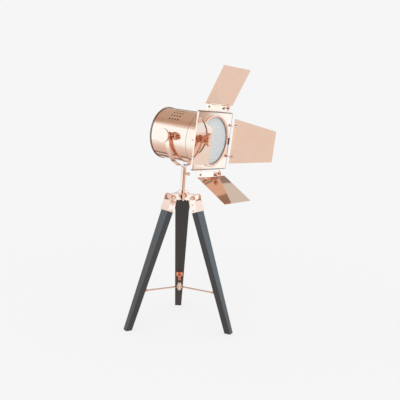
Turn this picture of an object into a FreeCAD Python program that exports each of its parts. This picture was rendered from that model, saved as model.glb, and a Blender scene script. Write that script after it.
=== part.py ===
import FreeCAD, Part
import math
import os

# Tabletop searchlight lamp: a drum head with four barn doors, carried in a yoke on a
# wooden tripod.  Millimetres, +Z up, origin on the floor under the pole, head facing -Y.

V = FreeCAD.Vector
Placement = FreeCAD.Placement
Rotation = FreeCAD.Rotation
ORIGIN = V(0, 0, 0)
X_AXIS, Y_AXIS, Z_AXIS = V(1, 0, 0), V(0, 1, 0), V(0, 0, 1)
NO_TURN = Rotation()
FULL_TURN, HALF_TURN, QUARTER_TURN = 360.0, 180.0, 90.0
ALONG = 0.99            # cosine above which an edge counts as running along an axis
HEX_SIDES = 6
DOME_BANDS = 3
BALL_BANDS = 6
BULB_BANDS = 8
CROWN = math.sqrt(0.5)  # where a low domed head breaks, up and across

# Fits ---------------------------------------------------------------------------------
RUNNING_GAP = 0.05      # radial play of a shaft, a screw or a tube in its hole
MOVING_GAP = 0.3        # between faces of pieces that move past each other

# Tripod -------------------------------------------------------------------------------
LEG_TURN_ANGLE = 8.2          # the front leg stands this far round from under the head's axis
LEG_LEAN_ANGLE = 18.86        # from the vertical
LEG_LENGTH = 341.0      # floor to top, along the leg
LEG_THICKNESS = 15.5
FOOT_WIDTH = 17.8
LEG_TAPER_RATIO = 0.0606      # width gained for each millimetre up the leg
SHOULDER_LENGTH = 18.0  # the sloping shoulders at the leg's top
LEG_TOP_WIDTH = 29.5
LEG_EDGE = 1.2          # chamfer along the leg's long edges

BOLT_REACH = 36.5       # leg bolt from the pole's axis
BOLT_ABOVE_LEG = 9.045   # along the leg, past its top
BOLT_FORWARD = 3.86      # outward of the leg's centre line
BOLT_RADIUS = 3.0
BOLT_HEAD_RADIUS = 4.6
BOLT_HEAD_RISE = 3.2
ACORN_FLATS = 10.0
ACORN_HEX_RISE = 5.0
ACORN_DOME_RISE = 4.7

SLEEVE_SHEET = 1.5
SLEEVE_LENGTH = 28.0    # how far the sleeve reaches down from the leg's top
EAR_RADIUS = 8.2
EAR_LAP = 4.5           # the ears run this far down over the shoulders

ARM_RISE = 7.5          # hub arms above the bolts
ARM_DROP = 6.5          # and below them
ARM_PAST_BOLT = 4.5
ARM_CHAMFER = 1.5
HUB_RADIUS = 11.6
HUB_COLLAR_RISE = 9.0   # round collar above the arms
HUB_SKIRT_DROP = 4.0    # round boss below them

POLE_RADIUS = 6.75
POLE_WALL = 1.5
POLE_LENGTH = 77.2
POLE_SOCKET = 21.0      # depth of the pole in the hub

STRAP_HEIGHT = 94.5     # underside of the brace straps
STRAP_WIDTH = 7.0
STRAP_THICKNESS = 2.0
STRAP_END_CHAMFER = 2.0
BOSS_RADIUS = 6.5
BOSS_RISE = 8.0
BOSS_BOLT_RADIUS = 2.4
STRAP_INSET = 3.2       # strap end from the boss's centre
DOME_FLATS = 9.4
DOME_HEX_RISE = 1.8
DOME_RISE = 4.7
BRACKET_WIDTH = 19.0
BRACKET_RISE = 12.5
BRACKET_TAB = 11.5
BRACKET_TAB_WIDTH = 10.2
BRACKET_TOP_WIDTH = 17.0
TAB_SCREW_INSET = 6.9    # screw from the leg's inner face
BRACKET_SHEET = 1.5
SMALL_SCREW_RADIUS = 1.5
SMALL_HEAD_RADIUS = 2.9
SMALL_HEAD_RISE = 1.6
SMALL_NUT_FLATS = 5.4

# Yoke, swivel and its set screw -------------------------------------------------------
YOKE_ROOM = 4.0         # between the drum and the yoke's arms
YOKE_DROP = 6.0         # straight arms below the pivot
YOKE_STRAP = 3.0
YOKE_WIDTH = 12.0
SPIGOT_FLANGE = 3.0
SPIGOT_LENGTH = 34.0
SWIVEL_STUD_RADIUS = 3.0
SWIVEL_NUT_FLATS = 8.0
SWIVEL_NUT_RISE = 3.6
SET_SCREW_DROP = 15.2   # below the pole's top
SET_SCREW_ANGLE = -52.0  # direction round the pole
SET_SCREW_RADIUS = 2.0
SET_SCREW_BALL = 4.3
SET_SCREW_REACH = 12.0  # ball centre from the pole's axis

# Drum head: x forward, y to the right-hand side, z up, from the tilt pivot ------------
HEAD_TILT_ANGLE = 6.0   # nose down
DRUM_RADIUS = 64.5
DRUM_WALL = 1.2
DRUM_REAR = -60.0
DRUM_FRONT = 79.0
REAR_RIM_STEP = 1.6     # hem of the rear cover, proud of the drum
REAR_RIM_LENGTH = 4.3
REAR_RIM_EDGE = 0.8
REAR_COVER_SHEET = 1.5
REAR_DISH_RADIUS = 50.0
REAR_DISH_DEPTH = 3.0
VENT_RADIUS = 2.1
VENT_COUNT = 4          # rows, and holes in a row
VENT_FIRST_X = -16.0
VENT_STEP_X = 8.6
VENT_FIRST_ANGLE = 21.0  # from the top, down either side
VENT_STEP_ANGLE = 10.1
COLLAR_STEP = 2.9       # front collar, proud of the drum
COLLAR_WALL = 1.4
COLLAR_LENGTH = 33.0
COLLAR_EDGE = 0.9

STUD_RADIUS = 3.0
STUD_HEAD_RADIUS = 6.0
STUD_HEAD_RISE = 2.5
SPACER_RADIUS = 9.4
KNOB_BASE_RADIUS = 10.0
KNOB_RIM_RADIUS = 17.0
KNOB_LENGTH = 18.0
KNOB_WAIST = 5.0        # straight part at the knob's foot
KNOB_RIM_LENGTH = 3.4
KNOB_EDGE = 1.6
KNOB_DISH_RADIUS = 11.5
KNOB_DISH_DEPTH = 1.6
KNOB_BORE_DEPTH = 12.0

# Front frame, glass and barn doors ----------------------------------------------------
FRAME_FRONT = 87.5
FRAME_ROOM = 2.65       # between the collar and the frame's flange
FRAME_CORNER = 5.0
FRAME_SHEET = 1.2
FRAME_FLANGE = 6.0
FRAME_EDGE = 0.9
GLASS_INSET = 4.5       # glass edge inside the drum's outer surface
GLASS_THICKNESS = 3.0
GLASS_SET_BACK = 3.4    # glass face behind the frame's front
RING_WALL = 1.4
RING_LIP = 2.5          # ring's lip over the glass
RING_BEAD_STEP = 2.2    # ring's bead over the frame's hole
RING_RISE = 3.4
RING_EDGE = 1.2
SNAP_RING_SIDE = 1.1
SNAP_RING_MOUTH = 4.4
SNAP_RING_ROOM = 0.2    # the sprung ring stands this far in from its seat
CLIP_WIDTH = 17.0
CLIP_MARGIN = 0.65
CLIP_SHEET = 0.9
CLIP_HOLD = 1.0         # how far the clip's finger bends short of the bead's edge

FLAP_PIN_FORWARD = 3.5  # door pins ahead of the frame's front
FLAP_PIN_OUTWARD = 10.25
WING_PIN_FORWARD = 9.7
WING_PIN_OUTWARD = 5.65  # door pins beyond the frame's side
PIN_RADIUS = 1.5
EAR_HALF_SPACING = 40.0
DOOR_SHEET = 1.2
LUG_SHEET = 1.5
LUG_PIN_RADIUS = 4.4
LUG_ROOT_RADIUS = 2.4
HINGE_BACK = 7.0        # from the pins to the outer face of the hinge strip
HINGE_FRONT = 6.0
HINGE_INNER = 7.0
HINGE_OUTER = 7.7
EAR_CORNER = 3.0
RELIEF_END = 3.4        # the slots beside the ears reach this far past the pins
FLAP_LENGTH = 96.5      # top and bottom doors
FLAP_HALF_WIDTH = 58.0
FLAP_BEND_ANGLE = 33.0  # between the flap and its hinge strip
FLAP_BASE_OUT = 7.1
FLAP_BASE_BACK = 3.3
WING_LENGTH = 107.0     # left and right doors
WING_HALF_BASE = 57.0
WING_HALF_TIP = 38.6
WING_BACK = 5.0         # from the pins to the wing's outer face
WING_INNER = 5.5
DOOR_CORNER = 2.0
RIGHT_DOOR_ANGLE = 26.3  # each door out from straight ahead, as it stands at rest
TOP_DOOR_ANGLE = 66.9
LEFT_DOOR_ANGLE = 35.0
BOTTOM_DOOR_ANGLE = 28.4

# Lamp holder and bulb -----------------------------------------------------------------
NIPPLE_RADIUS = 5.0
NIPPLE_BORE = 3.4
NIPPLE_OUT = 12.0
NIPPLE_IN = 8.0
HOLDER_RADIUS = 13.5
HOLDER_WAIST = 10.1
HOLDER_LENGTH = 36.0
CAP_RADIUS = 7.0
CAP_LENGTH = 17.0
BULB_RADIUS = 22.5
BULB_NECK_RADIUS = 8.6
BULB_NECK_LENGTH = 6.0
GLAND_RADIUS = 9.0
GLAND_NECK_RADIUS = 7.2
GLAND_TIP_RADIUS = 5.6
GLAND_LENGTH = 13.0
GLAND_FOOT = 5.5

# Values that follow -------------------------------------------------------------------
SIDES = ("right", "top", "left", "bottom")
DOOR_OPEN_ANGLE = {"right": RIGHT_DOOR_ANGLE, "top": TOP_DOOR_ANGLE, "left": LEFT_DOOR_ANGLE,
                   "bottom": BOTTOM_DOOR_ANGLE}
LEG_ANGLES = {"front": -90 + LEG_TURN_ANGLE, "right": 30 + LEG_TURN_ANGLE, "left": 150 + LEG_TURN_ANGLE}
NUT_SIDE = {"front": -1, "right": 1, "left": 1}
LEAN_SIN, LEAN_COS = math.sin(math.radians(LEG_LEAN_ANGLE)), math.cos(math.radians(LEG_LEAN_ANGLE))
BOLT_UP = LEG_LENGTH + BOLT_ABOVE_LEG
FOOT_RADIUS = BOLT_REACH - BOLT_FORWARD * LEAN_COS + BOLT_UP * LEAN_SIN
BOLT_HEIGHT = BOLT_FORWARD * LEAN_SIN + BOLT_UP * LEAN_COS
SHOULDER_UP = LEG_LENGTH - SHOULDER_LENGTH
SHOULDER_WIDTH = FOOT_WIDTH + LEG_TAPER_RATIO * SHOULDER_UP
ARM_HALF_WIDTH = LEG_TOP_WIDTH / 2 - MOVING_GAP
ARM_BOTTOM = BOLT_HEIGHT - ARM_DROP
ARM_TOP = BOLT_HEIGHT + ARM_RISE
ARM_REACH = BOLT_REACH + ARM_PAST_BOLT
HUB_BOTTOM = ARM_BOTTOM - HUB_SKIRT_DROP
HUB_TOP = ARM_TOP + HUB_COLLAR_RISE
POLE_BOTTOM = HUB_TOP - POLE_SOCKET
POLE_TOP = POLE_BOTTOM + POLE_LENGTH
SPIGOT_RADIUS = POLE_RADIUS - POLE_WALL - RUNNING_GAP
SET_SCREW_HEIGHT = POLE_TOP - SET_SCREW_DROP
YOKE_BORE = DRUM_RADIUS + YOKE_ROOM
YOKE_OUTER = YOKE_BORE + YOKE_STRAP
YOKE_BOTTOM = POLE_TOP + MOVING_GAP + SPIGOT_FLANGE
YOKE_FLOOR = YOKE_BOTTOM + YOKE_STRAP
PIVOT_HEIGHT = YOKE_BOTTOM + YOKE_OUTER + YOKE_DROP
STRAP_TOP = STRAP_HEIGHT + STRAP_THICKNESS
LEG_INNER_AT_STRAP = FOOT_RADIUS - (STRAP_TOP * LEAN_SIN + LEG_THICKNESS / 2) / LEAN_COS
STRAP_SCREW_REACH = LEG_INNER_AT_STRAP - TAB_SCREW_INSET
BOSS_BOTTOM = STRAP_HEIGHT + STRAP_THICKNESS / 2 - BOSS_RISE / 2

COLLAR_RADIUS = DRUM_RADIUS + COLLAR_STEP
FRAME_BACK = FRAME_FRONT - FRAME_SHEET
COLLAR_REAR = FRAME_BACK - COLLAR_LENGTH
FRAME_HALF = COLLAR_RADIUS + FRAME_ROOM + FRAME_SHEET
GLASS_RADIUS = DRUM_RADIUS - GLASS_INSET
GLASS_FRONT = FRAME_FRONT - GLASS_SET_BACK
GLASS_REAR = GLASS_FRONT - GLASS_THICKNESS
RING_BORE = GLASS_RADIUS - RING_LIP
RING_TUBE = GLASS_RADIUS + RING_WALL
RING_BEAD = RING_TUBE + RING_BEAD_STEP
RING_FRONT = FRAME_FRONT + RING_RISE
CLIP_REACH = FRAME_HALF - CLIP_MARGIN
FLAP_PIN_X = FRAME_FRONT + FLAP_PIN_FORWARD
FLAP_PIN_OFF = FRAME_HALF + FLAP_PIN_OUTWARD
WING_PIN_X = FRAME_FRONT + WING_PIN_FORWARD
WING_PIN_OFF = FRAME_HALF + WING_PIN_OUTWARD
DOOR_PIN = {"right": V(WING_PIN_X, WING_PIN_OFF, 0), "top": V(FLAP_PIN_X, FLAP_PIN_OFF, 0),
            "left": V(WING_PIN_X, WING_PIN_OFF, 0), "bottom": V(FLAP_PIN_X, FLAP_PIN_OFF, 0)}
EAR_OUTER = EAR_HALF_SPACING + DOOR_SHEET / 2
LUG_OUTER = EAR_HALF_SPACING - DOOR_SHEET / 2 - MOVING_GAP
COVER_BACK = DRUM_REAR - REAR_COVER_SHEET - REAR_DISH_DEPTH
HOLDER_REAR = COVER_BACK + REAR_COVER_SHEET
CAP_REAR = HOLDER_REAR + HOLDER_LENGTH - CAP_LENGTH

LEG = Placement(V(FOOT_RADIUS, 0, 0), Rotation(Y_AXIS, -LEG_LEAN_ANGLE))
YOKE = Placement(V(0, 0, PIVOT_HEIGHT), Rotation(Z_AXIS, -90))
HEAD = Placement(V(0, 0, PIVOT_HEIGHT), Rotation(X_AXIS, HEAD_TILT_ANGLE) * Rotation(Z_AXIS, -90))


# Shape helpers ------------------------------------------------------------------------
def rod(radius, start, end, way=Z_AXIS, centre=ORIGIN):
    """Round bar between two distances from a point, along a direction."""
    return Part.makeCylinder(radius, end - start, centre + way * start, way)


def block(low, high):
    return Part.makeBox(high[0] - low[0], high[1] - low[1], high[2] - low[2], V(*low))


def fuse(shapes):
    return shapes[0].multiFuse(shapes[1:]).removeSplitter()


def placed(shape, placement):
    moved = shape.copy()
    moved.Placement = placement.multiply(moved.Placement)
    return moved


def shifted(shape, x, y, z):
    return placed(shape, Placement(V(x, y, z), NO_TURN))


def toward(point, direction):
    """Placement that sets a piece's z axis along a direction, from a point."""
    return Placement(point, Rotation(Z_AXIS, direction))


def prism(corners, way):
    """Straight solid from a flat outline, pushed along a direction."""
    return Part.Face(Part.makePolygon(corners + corners[:1])).extrude(way)


def turned(outline, axis=X_AXIS):
    """Solid of revolution from corners (place along the axis, radius)."""
    corners = [V(x, radius, 0) for x, radius in outline]
    solid = Part.Face(Part.makePolygon(corners + corners[:1])).revolve(ORIGIN, X_AXIS, FULL_TURN)
    return placed(solid, Placement(ORIGIN, Rotation(X_AXIS, axis)))


def round_profile(centre, radius, start_angle, bands):
    """Corners along a ball's profile, from an angle off its rear pole round to its tip."""
    corners = []
    for band in range(bands + 1):
        angle = math.radians(start_angle + (HALF_TURN - start_angle) * band / bands)
        corners.append((centre - radius * math.cos(angle), round(radius * math.sin(angle), 6)))
    return corners


def plate(corners, thickness, corner_radius=0.0):
    """Flat plate in the x-y plane, centred on z = 0, with rounded corners."""
    solid = prism([V(x, y, -thickness / 2) for x, y in corners], V(0, 0, thickness))
    if corner_radius:
        upright = [e for e in solid.Edges if abs(e.tangentAt(e.FirstParameter).z) > ALONG]
        solid = solid.makeFillet(corner_radius, upright)
    return solid


def link_plate(centre_a, radius_a, centre_b, radius_b, thickness):
    """Plate round two circles and the straight sides between them, from z = 0 up."""
    (ax, ay), (bx, by) = centre_a, centre_b
    span = math.hypot(bx - ax, by - ay)
    heading = math.atan2(by - ay, bx - ax)
    spread = math.acos((radius_a - radius_b) / span)
    corners = []
    for x, y, radius, sides in ((ax, ay, radius_a, (1, -1)), (bx, by, radius_b, (-1, 1))):
        for side in sides:
            angle = heading + side * spread
            corners.append(V(x + radius * math.cos(angle), y + radius * math.sin(angle), 0))
    end_a = rod(radius_a, 0, thickness, centre=V(ax, ay, 0))
    end_b = rod(radius_b, 0, thickness, centre=V(bx, by, 0))
    return fuse([prism(corners, V(0, 0, thickness)), end_a, end_b])


def hexagon(across_flats, rise):
    radius = across_flats / math.sqrt(3)
    turns = [2 * math.pi * k / HEX_SIDES for k in range(HEX_SIDES)]
    return prism([V(radius * math.cos(t), radius * math.sin(t), 0) for t in turns], V(0, 0, rise))


def round_head(radius, rise):
    """Low domed head standing on z = 0."""
    return turned([(0, 0), (0, radius), (rise * CROWN, radius * CROWN), (rise, 0)], Z_AXIS)


def acorn_nut(across_flats, hex_rise, dome_rise):
    radius = across_flats / 2
    scale = dome_rise / radius
    dome = [(hex_rise + x * scale, y) for x, y in round_profile(0, radius, HALF_TURN / 2, DOME_BANDS)]
    return fuse([hexagon(across_flats, hex_rise), turned([(0, 0), (0, radius)] + dome, Z_AXIS)])


# Tripod -------------------------------------------------------------------------------
def round_pole(shape, angle):
    return placed(shape, Placement(ORIGIN, Rotation(Z_AXIS, angle)))


def leg_block(low, grow, back, front):
    """Leg-shaped block from a height up; grow adds a sheet's thickness at the sides."""
    half_low = (FOOT_WIDTH + LEG_TAPER_RATIO * low) / 2 + grow
    shoulder, top = SHOULDER_WIDTH / 2 + grow, LEG_TOP_WIDTH / 2 + grow
    right = [(half_low, low), (shoulder, SHOULDER_UP), (top, LEG_LENGTH)]
    left = [(-y, z) for y, z in reversed(right)]
    return prism([V(back, y, z) for y, z in right + left], V(front - back, 0, 0))


def make_leg():
    half = LEG_THICKNESS / 2
    wood = leg_block(-2 * LEG_THICKNESS, 0, -half, half)
    long_edges = [e for e in wood.Edges if e.Length > LEG_LENGTH / 2]
    wood = placed(wood.makeChamfer(LEG_EDGE, long_edges), LEG)
    reach = 2 * (FOOT_RADIUS + LEG_LENGTH)
    return wood.cut(block((-reach, -reach, -reach), (reach, reach, 0)))


def up_the_leg(outward, height):
    """How far up the leg's own frame a height lies, at a depth through the leg."""
    return (height - outward * LEAN_SIN) / LEAN_COS


def make_sleeve():
    """Sheet folded round the leg's top, its cheeks running up into two round ears."""
    half, inner = LEG_THICKNESS / 2, LEG_TOP_WIDTH / 2
    sheath = leg_block(LEG_LENGTH - SLEEVE_LENGTH, SLEEVE_SHEET, -half, half + SLEEVE_SHEET)
    root = (half - EAR_RADIUS + SLEEVE_SHEET, LEG_LENGTH - EAR_RADIUS)
    ear = link_plate(root, EAR_RADIUS, (BOLT_FORWARD, BOLT_UP), EAR_RADIUS, SLEEVE_SHEET)
    ear = placed(ear, Placement(V(0, inner + SLEEVE_SHEET, 0), Rotation(X_AXIS, QUARTER_TURN)))
    ear = ear.common(block((-2 * EAR_RADIUS, inner, LEG_LENGTH - EAR_LAP),
                           (2 * EAR_RADIUS, inner + SLEEVE_SHEET, BOLT_UP + 2 * EAR_RADIUS)))
    sleeve = fuse([sheath, ear, ear.mirror(ORIGIN, Y_AXIS)]).cut(leg_block(0, 0, -LEG_THICKNESS, half))
    hole = rod(BOLT_RADIUS + RUNNING_GAP, -2 * inner, 2 * inner, Y_AXIS, V(BOLT_FORWARD, 0, BOLT_UP))
    return placed(sleeve.cut(hole), LEG)


def make_leg_bolt(side):
    """Bolt through one sleeve and hub arm, head opposite the acorn nut."""
    outer = LEG_TOP_WIDTH / 2 + SLEEVE_SHEET
    shank = rod(BOLT_RADIUS, -outer, outer + ACORN_HEX_RISE)
    head = placed(round_head(BOLT_HEAD_RADIUS, BOLT_HEAD_RISE), toward(V(0, 0, -outer), -Z_AXIS))
    return placed(fuse([shank, head]), toward(V(BOLT_REACH, 0, BOLT_HEIGHT), Y_AXIS * side))


def make_acorn_nut(side):
    outer = LEG_TOP_WIDTH / 2 + SLEEVE_SHEET
    nut = acorn_nut(ACORN_FLATS, ACORN_HEX_RISE, ACORN_DOME_RISE)
    nut = nut.cut(rod(BOLT_RADIUS + RUNNING_GAP, 0, ACORN_HEX_RISE + 2 * RUNNING_GAP))
    return placed(nut, toward(V(BOLT_REACH, side * outer, BOLT_HEIGHT), Y_AXIS * side))


def make_hub():
    parts = [rod(HUB_RADIUS, HUB_BOTTOM, HUB_TOP)]
    reach, half = ARM_REACH, ARM_HALF_WIDTH
    for angle in LEG_ANGLES.values():
        arm = block((0, -half, ARM_BOTTOM), (reach, half, ARM_TOP))
        ends = [e for e in arm.Edges if e.Length > half and e.BoundBox.XMin > reach - ARM_CHAMFER]
        level = [e for e in ends if e.BoundBox.ZLength < ARM_CHAMFER]
        parts.append(round_pole(arm.makeChamfer(ARM_CHAMFER, level), angle))
    hub = fuse(parts).cut(rod(POLE_RADIUS + RUNNING_GAP, POLE_BOTTOM, HUB_TOP))
    for angle in LEG_ANGLES.values():
        hole = rod(BOLT_RADIUS + RUNNING_GAP, -2 * half, 2 * half, Y_AXIS, V(BOLT_REACH, 0, BOLT_HEIGHT))
        hub = hub.cut(round_pole(hole, angle))
    return hub


def make_pole():
    tube = rod(POLE_RADIUS, POLE_BOTTOM, POLE_TOP).cut(rod(POLE_RADIUS - POLE_WALL, POLE_BOTTOM, POLE_TOP))
    hole = rod(SET_SCREW_RADIUS + RUNNING_GAP, 0, 2 * POLE_RADIUS, X_AXIS, V(0, 0, SET_SCREW_HEIGHT))
    return tube.cut(round_pole(hole, SET_SCREW_ANGLE))


def make_set_screw():
    """Ball-headed screw that bears on the swivel spigot through the pole's wall."""
    start, radius = SPIGOT_RADIUS + RUNNING_GAP, SET_SCREW_RADIUS
    shank_angle = math.degrees(math.asin(radius / SET_SCREW_BALL))
    ball = round_profile(SET_SCREW_REACH, SET_SCREW_BALL, shank_angle, BALL_BANDS)
    screw = turned([(start, 0), (start, radius)] + ball)
    return round_pole(shifted(screw, 0, 0, SET_SCREW_HEIGHT), SET_SCREW_ANGLE)


# Brace between the legs ---------------------------------------------------------------
def make_brace_strap():
    half = STRAP_WIDTH / 2
    end = STRAP_SCREW_REACH + half
    off = STRAP_END_CHAMFER
    corners = [(STRAP_INSET, -half), (end - off, -half), (end, off - half),
               (end, half - off), (end - off, half), (STRAP_INSET, half)]
    strap = prism([V(x, y, STRAP_HEIGHT) for x, y in corners], V(0, 0, STRAP_THICKNESS))
    hole = rod(SMALL_SCREW_RADIUS + RUNNING_GAP, 0, 2 * STRAP_TOP, Z_AXIS, V(STRAP_SCREW_REACH, 0, 0))
    return strap.cut(hole)


def make_brace_bracket():
    """Angle bracket: a face on the leg's inner side and a tab over the strap."""
    half, narrow = BRACKET_WIDTH / 2, BRACKET_TOP_WIDTH / 2
    inner = -LEG_THICKNESS / 2
    foot = up_the_leg(inner, STRAP_TOP)
    corners = [(-half, 0), (half, 0), (narrow, BRACKET_RISE), (-narrow, BRACKET_RISE)]
    face = prism([V(inner - BRACKET_SHEET, y, foot + up) for y, up in corners], V(BRACKET_SHEET, 0, 0))
    tab_half = BRACKET_TAB_WIDTH / 2
    tab = block((LEG_INNER_AT_STRAP - BRACKET_TAB, -tab_half, STRAP_TOP),
                (LEG_INNER_AT_STRAP - BRACKET_SHEET / 2, tab_half, STRAP_TOP + BRACKET_SHEET))
    hole = rod(SMALL_SCREW_RADIUS + RUNNING_GAP, 0, 2 * STRAP_TOP, Z_AXIS, V(STRAP_SCREW_REACH, 0, 0))
    return fuse([placed(face, LEG), tab]).cut(hole)


def make_bracket_screw():
    """Upright screw through tab and strap, with its nut underneath."""
    grip = STRAP_THICKNESS + BRACKET_SHEET
    shank = rod(SMALL_SCREW_RADIUS, -SMALL_HEAD_RISE, grip)
    head = shifted(round_head(SMALL_HEAD_RADIUS, SMALL_HEAD_RISE), 0, 0, grip)
    nut = shifted(hexagon(SMALL_NUT_FLATS, SMALL_HEAD_RISE), 0, 0, -SMALL_HEAD_RISE)
    return shifted(fuse([shank, head, nut]), STRAP_SCREW_REACH, 0, STRAP_HEIGHT)


def make_brace_hub():
    boss = rod(BOSS_RADIUS, BOSS_BOTTOM, BOSS_BOTTOM + BOSS_RISE)
    boss = boss.cut(rod(BOSS_BOLT_RADIUS + RUNNING_GAP, BOSS_BOTTOM, BOSS_BOTTOM + BOSS_RISE))
    half = STRAP_WIDTH / 2 + RUNNING_GAP
    for angle in LEG_ANGLES.values():
        slot = block((STRAP_INSET - RUNNING_GAP, -half, STRAP_HEIGHT - RUNNING_GAP),
                     (2 * BOSS_RADIUS, half, STRAP_TOP + RUNNING_GAP))
        boss = boss.cut(round_pole(slot, angle))
    return boss


def make_brace_bolt():
    """Bolt through the boss with a domed nut at each end."""
    nut = acorn_nut(DOME_FLATS, DOME_HEX_RISE, DOME_RISE)
    top = shifted(nut, 0, 0, BOSS_BOTTOM + BOSS_RISE)
    bottom = placed(nut, toward(V(0, 0, BOSS_BOTTOM), -Z_AXIS))
    return fuse([rod(BOSS_BOLT_RADIUS, BOSS_BOTTOM, BOSS_BOTTOM + BOSS_RISE), top, bottom])


# Yoke and swivel ----------------------------------------------------------------------
def make_yoke():
    """Flat bar bent into a U, its arms rounded off about the pivot."""
    half, wide = YOKE_WIDTH / 2, 2 * YOKE_OUTER
    bend = V(0, 0, -YOKE_DROP)
    outer = fuse([rod(YOKE_OUTER, -half, half, X_AXIS, bend),
                  block((-half, -YOKE_OUTER, -YOKE_DROP), (half, YOKE_OUTER, half))])
    inner = fuse([rod(YOKE_BORE, -half, half, X_AXIS, bend),
                  block((-half, -YOKE_BORE, -YOKE_DROP), (half, YOKE_BORE, half))])
    strap = outer.cut(inner)
    rounded = strap.common(rod(half, -wide, wide, Y_AXIS))
    strap = fuse([strap.common(block((-half, -wide, -wide), (half, wide, 0))), rounded])
    strap = strap.cut(rod(STUD_RADIUS + RUNNING_GAP, -wide, wide, Y_AXIS))
    strap = strap.cut(rod(SWIVEL_STUD_RADIUS + RUNNING_GAP, -wide, -YOKE_BORE / 2))
    return placed(strap, YOKE)


def make_spigot():
    """Swivel spigot: turns in the pole, its stud goes up through the yoke."""
    flange_foot = YOKE_BOTTOM - SPIGOT_FLANGE
    flange = rod(POLE_RADIUS, flange_foot, YOKE_BOTTOM)
    shaft = rod(SPIGOT_RADIUS, flange_foot - SPIGOT_LENGTH, flange_foot)
    return fuse([flange, shaft, rod(SWIVEL_STUD_RADIUS, YOKE_BOTTOM, YOKE_FLOOR + SWIVEL_NUT_RISE)])


def make_swivel_nut():
    nut = hexagon(SWIVEL_NUT_FLATS, SWIVEL_NUT_RISE)
    nut = nut.cut(rod(SWIVEL_STUD_RADIUS + RUNNING_GAP, 0, SWIVEL_NUT_RISE))
    half_flats = SWIVEL_NUT_FLATS / 2
    bend_rise = YOKE_BORE - math.sqrt(YOKE_BORE ** 2 - half_flats ** 2)
    return placed(nut, Placement(V(0, 0, YOKE_FLOOR + bend_rise), Rotation(Z_AXIS, HALF_TURN / HEX_SIDES)))


# Drum ---------------------------------------------------------------------------------
def make_drum():
    shell = rod(DRUM_RADIUS, DRUM_REAR, DRUM_FRONT, X_AXIS)
    shell = shell.cut(rod(DRUM_RADIUS - DRUM_WALL, DRUM_REAR, DRUM_FRONT, X_AXIS))
    shell = shell.cut(rod(STUD_RADIUS + RUNNING_GAP, -2 * DRUM_RADIUS, 2 * DRUM_RADIUS, Y_AXIS))
    drills = []
    for column in range(VENT_COUNT):
        for row in range(VENT_COUNT):
            for side in (-1, 1):
                angle = math.radians(QUARTER_TURN + side * (VENT_FIRST_ANGLE + row * VENT_STEP_ANGLE))
                way = V(0, math.cos(angle), math.sin(angle))
                place = V(VENT_FIRST_X + column * VENT_STEP_X, 0, 0)
                inside, outside = DRUM_RADIUS - 2 * DRUM_WALL, DRUM_RADIUS + DRUM_WALL
                drills.append(rod(VENT_RADIUS, inside, outside, way, place))
    return shell.cut(Part.makeCompound(drills))


def make_rear_cover():
    """Pressed cover: a hem round the drum's end and a raised dish in the middle."""
    sheet, depth, dish = REAR_COVER_SHEET, REAR_DISH_DEPTH, REAR_DISH_RADIUS
    back, rim = DRUM_REAR - sheet, DRUM_RADIUS + REAR_RIM_STEP
    hem_inner, hem_front = DRUM_RADIUS + RUNNING_GAP, DRUM_REAR - sheet + REAR_RIM_LENGTH
    bore = NIPPLE_RADIUS + RUNNING_GAP
    floor = back - depth + sheet
    inside = [(floor, bore), (floor, dish - sheet), (DRUM_REAR, dish + depth - sheet)]
    hem = [(DRUM_REAR, hem_inner), (hem_front, hem_inner), (hem_front, rim),
           (back + REAR_RIM_EDGE, rim), (back, rim - REAR_RIM_EDGE)]
    outside = [(back, dish + depth), (back - depth, dish), (back - depth, bore)]
    return turned(inside + hem + outside)


def make_collar():
    """Front collar: a sleeve turned in at both ends, over the drum's mouth."""
    wall, inner = COLLAR_WALL, COLLAR_RADIUS - COLLAR_WALL
    on_drum, on_ring = DRUM_RADIUS + RUNNING_GAP, RING_TUBE + RUNNING_GAP
    return turned([(COLLAR_REAR, on_drum), (COLLAR_REAR + wall, on_drum), (COLLAR_REAR + wall, inner),
                   (FRAME_BACK - wall, inner), (FRAME_BACK - wall, on_ring), (FRAME_BACK, on_ring),
                   (FRAME_BACK, COLLAR_RADIUS), (COLLAR_REAR + COLLAR_EDGE, COLLAR_RADIUS),
                   (COLLAR_REAR, COLLAR_RADIUS - COLLAR_EDGE)])


def make_pivot_bolt(side):
    """Carriage bolt from inside the drum, out through spacer, yoke and knob."""
    way = Y_AXIS * side
    seat = DRUM_RADIUS - DRUM_WALL - RUNNING_GAP
    head = rod(STUD_HEAD_RADIUS, seat - STUD_HEAD_RISE, DRUM_RADIUS, way)
    head = head.common(rod(seat, -2 * STUD_HEAD_RADIUS, 2 * STUD_HEAD_RADIUS, X_AXIS))
    return fuse([head, rod(STUD_RADIUS, seat - STUD_HEAD_RISE / 2, YOKE_OUTER + KNOB_BORE_DEPTH, way)])


def make_spacer(side):
    """Saddle spacer between the drum and the yoke's arm."""
    way = Y_AXIS * side
    end = YOKE_BORE - MOVING_GAP
    spacer = rod(SPACER_RADIUS, DRUM_RADIUS - DRUM_WALL, end, way)
    spacer = spacer.cut(rod(DRUM_RADIUS + RUNNING_GAP, -2 * SPACER_RADIUS, 2 * SPACER_RADIUS, X_AXIS))
    return spacer.cut(rod(STUD_RADIUS + RUNNING_GAP, 0, end, way))


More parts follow.
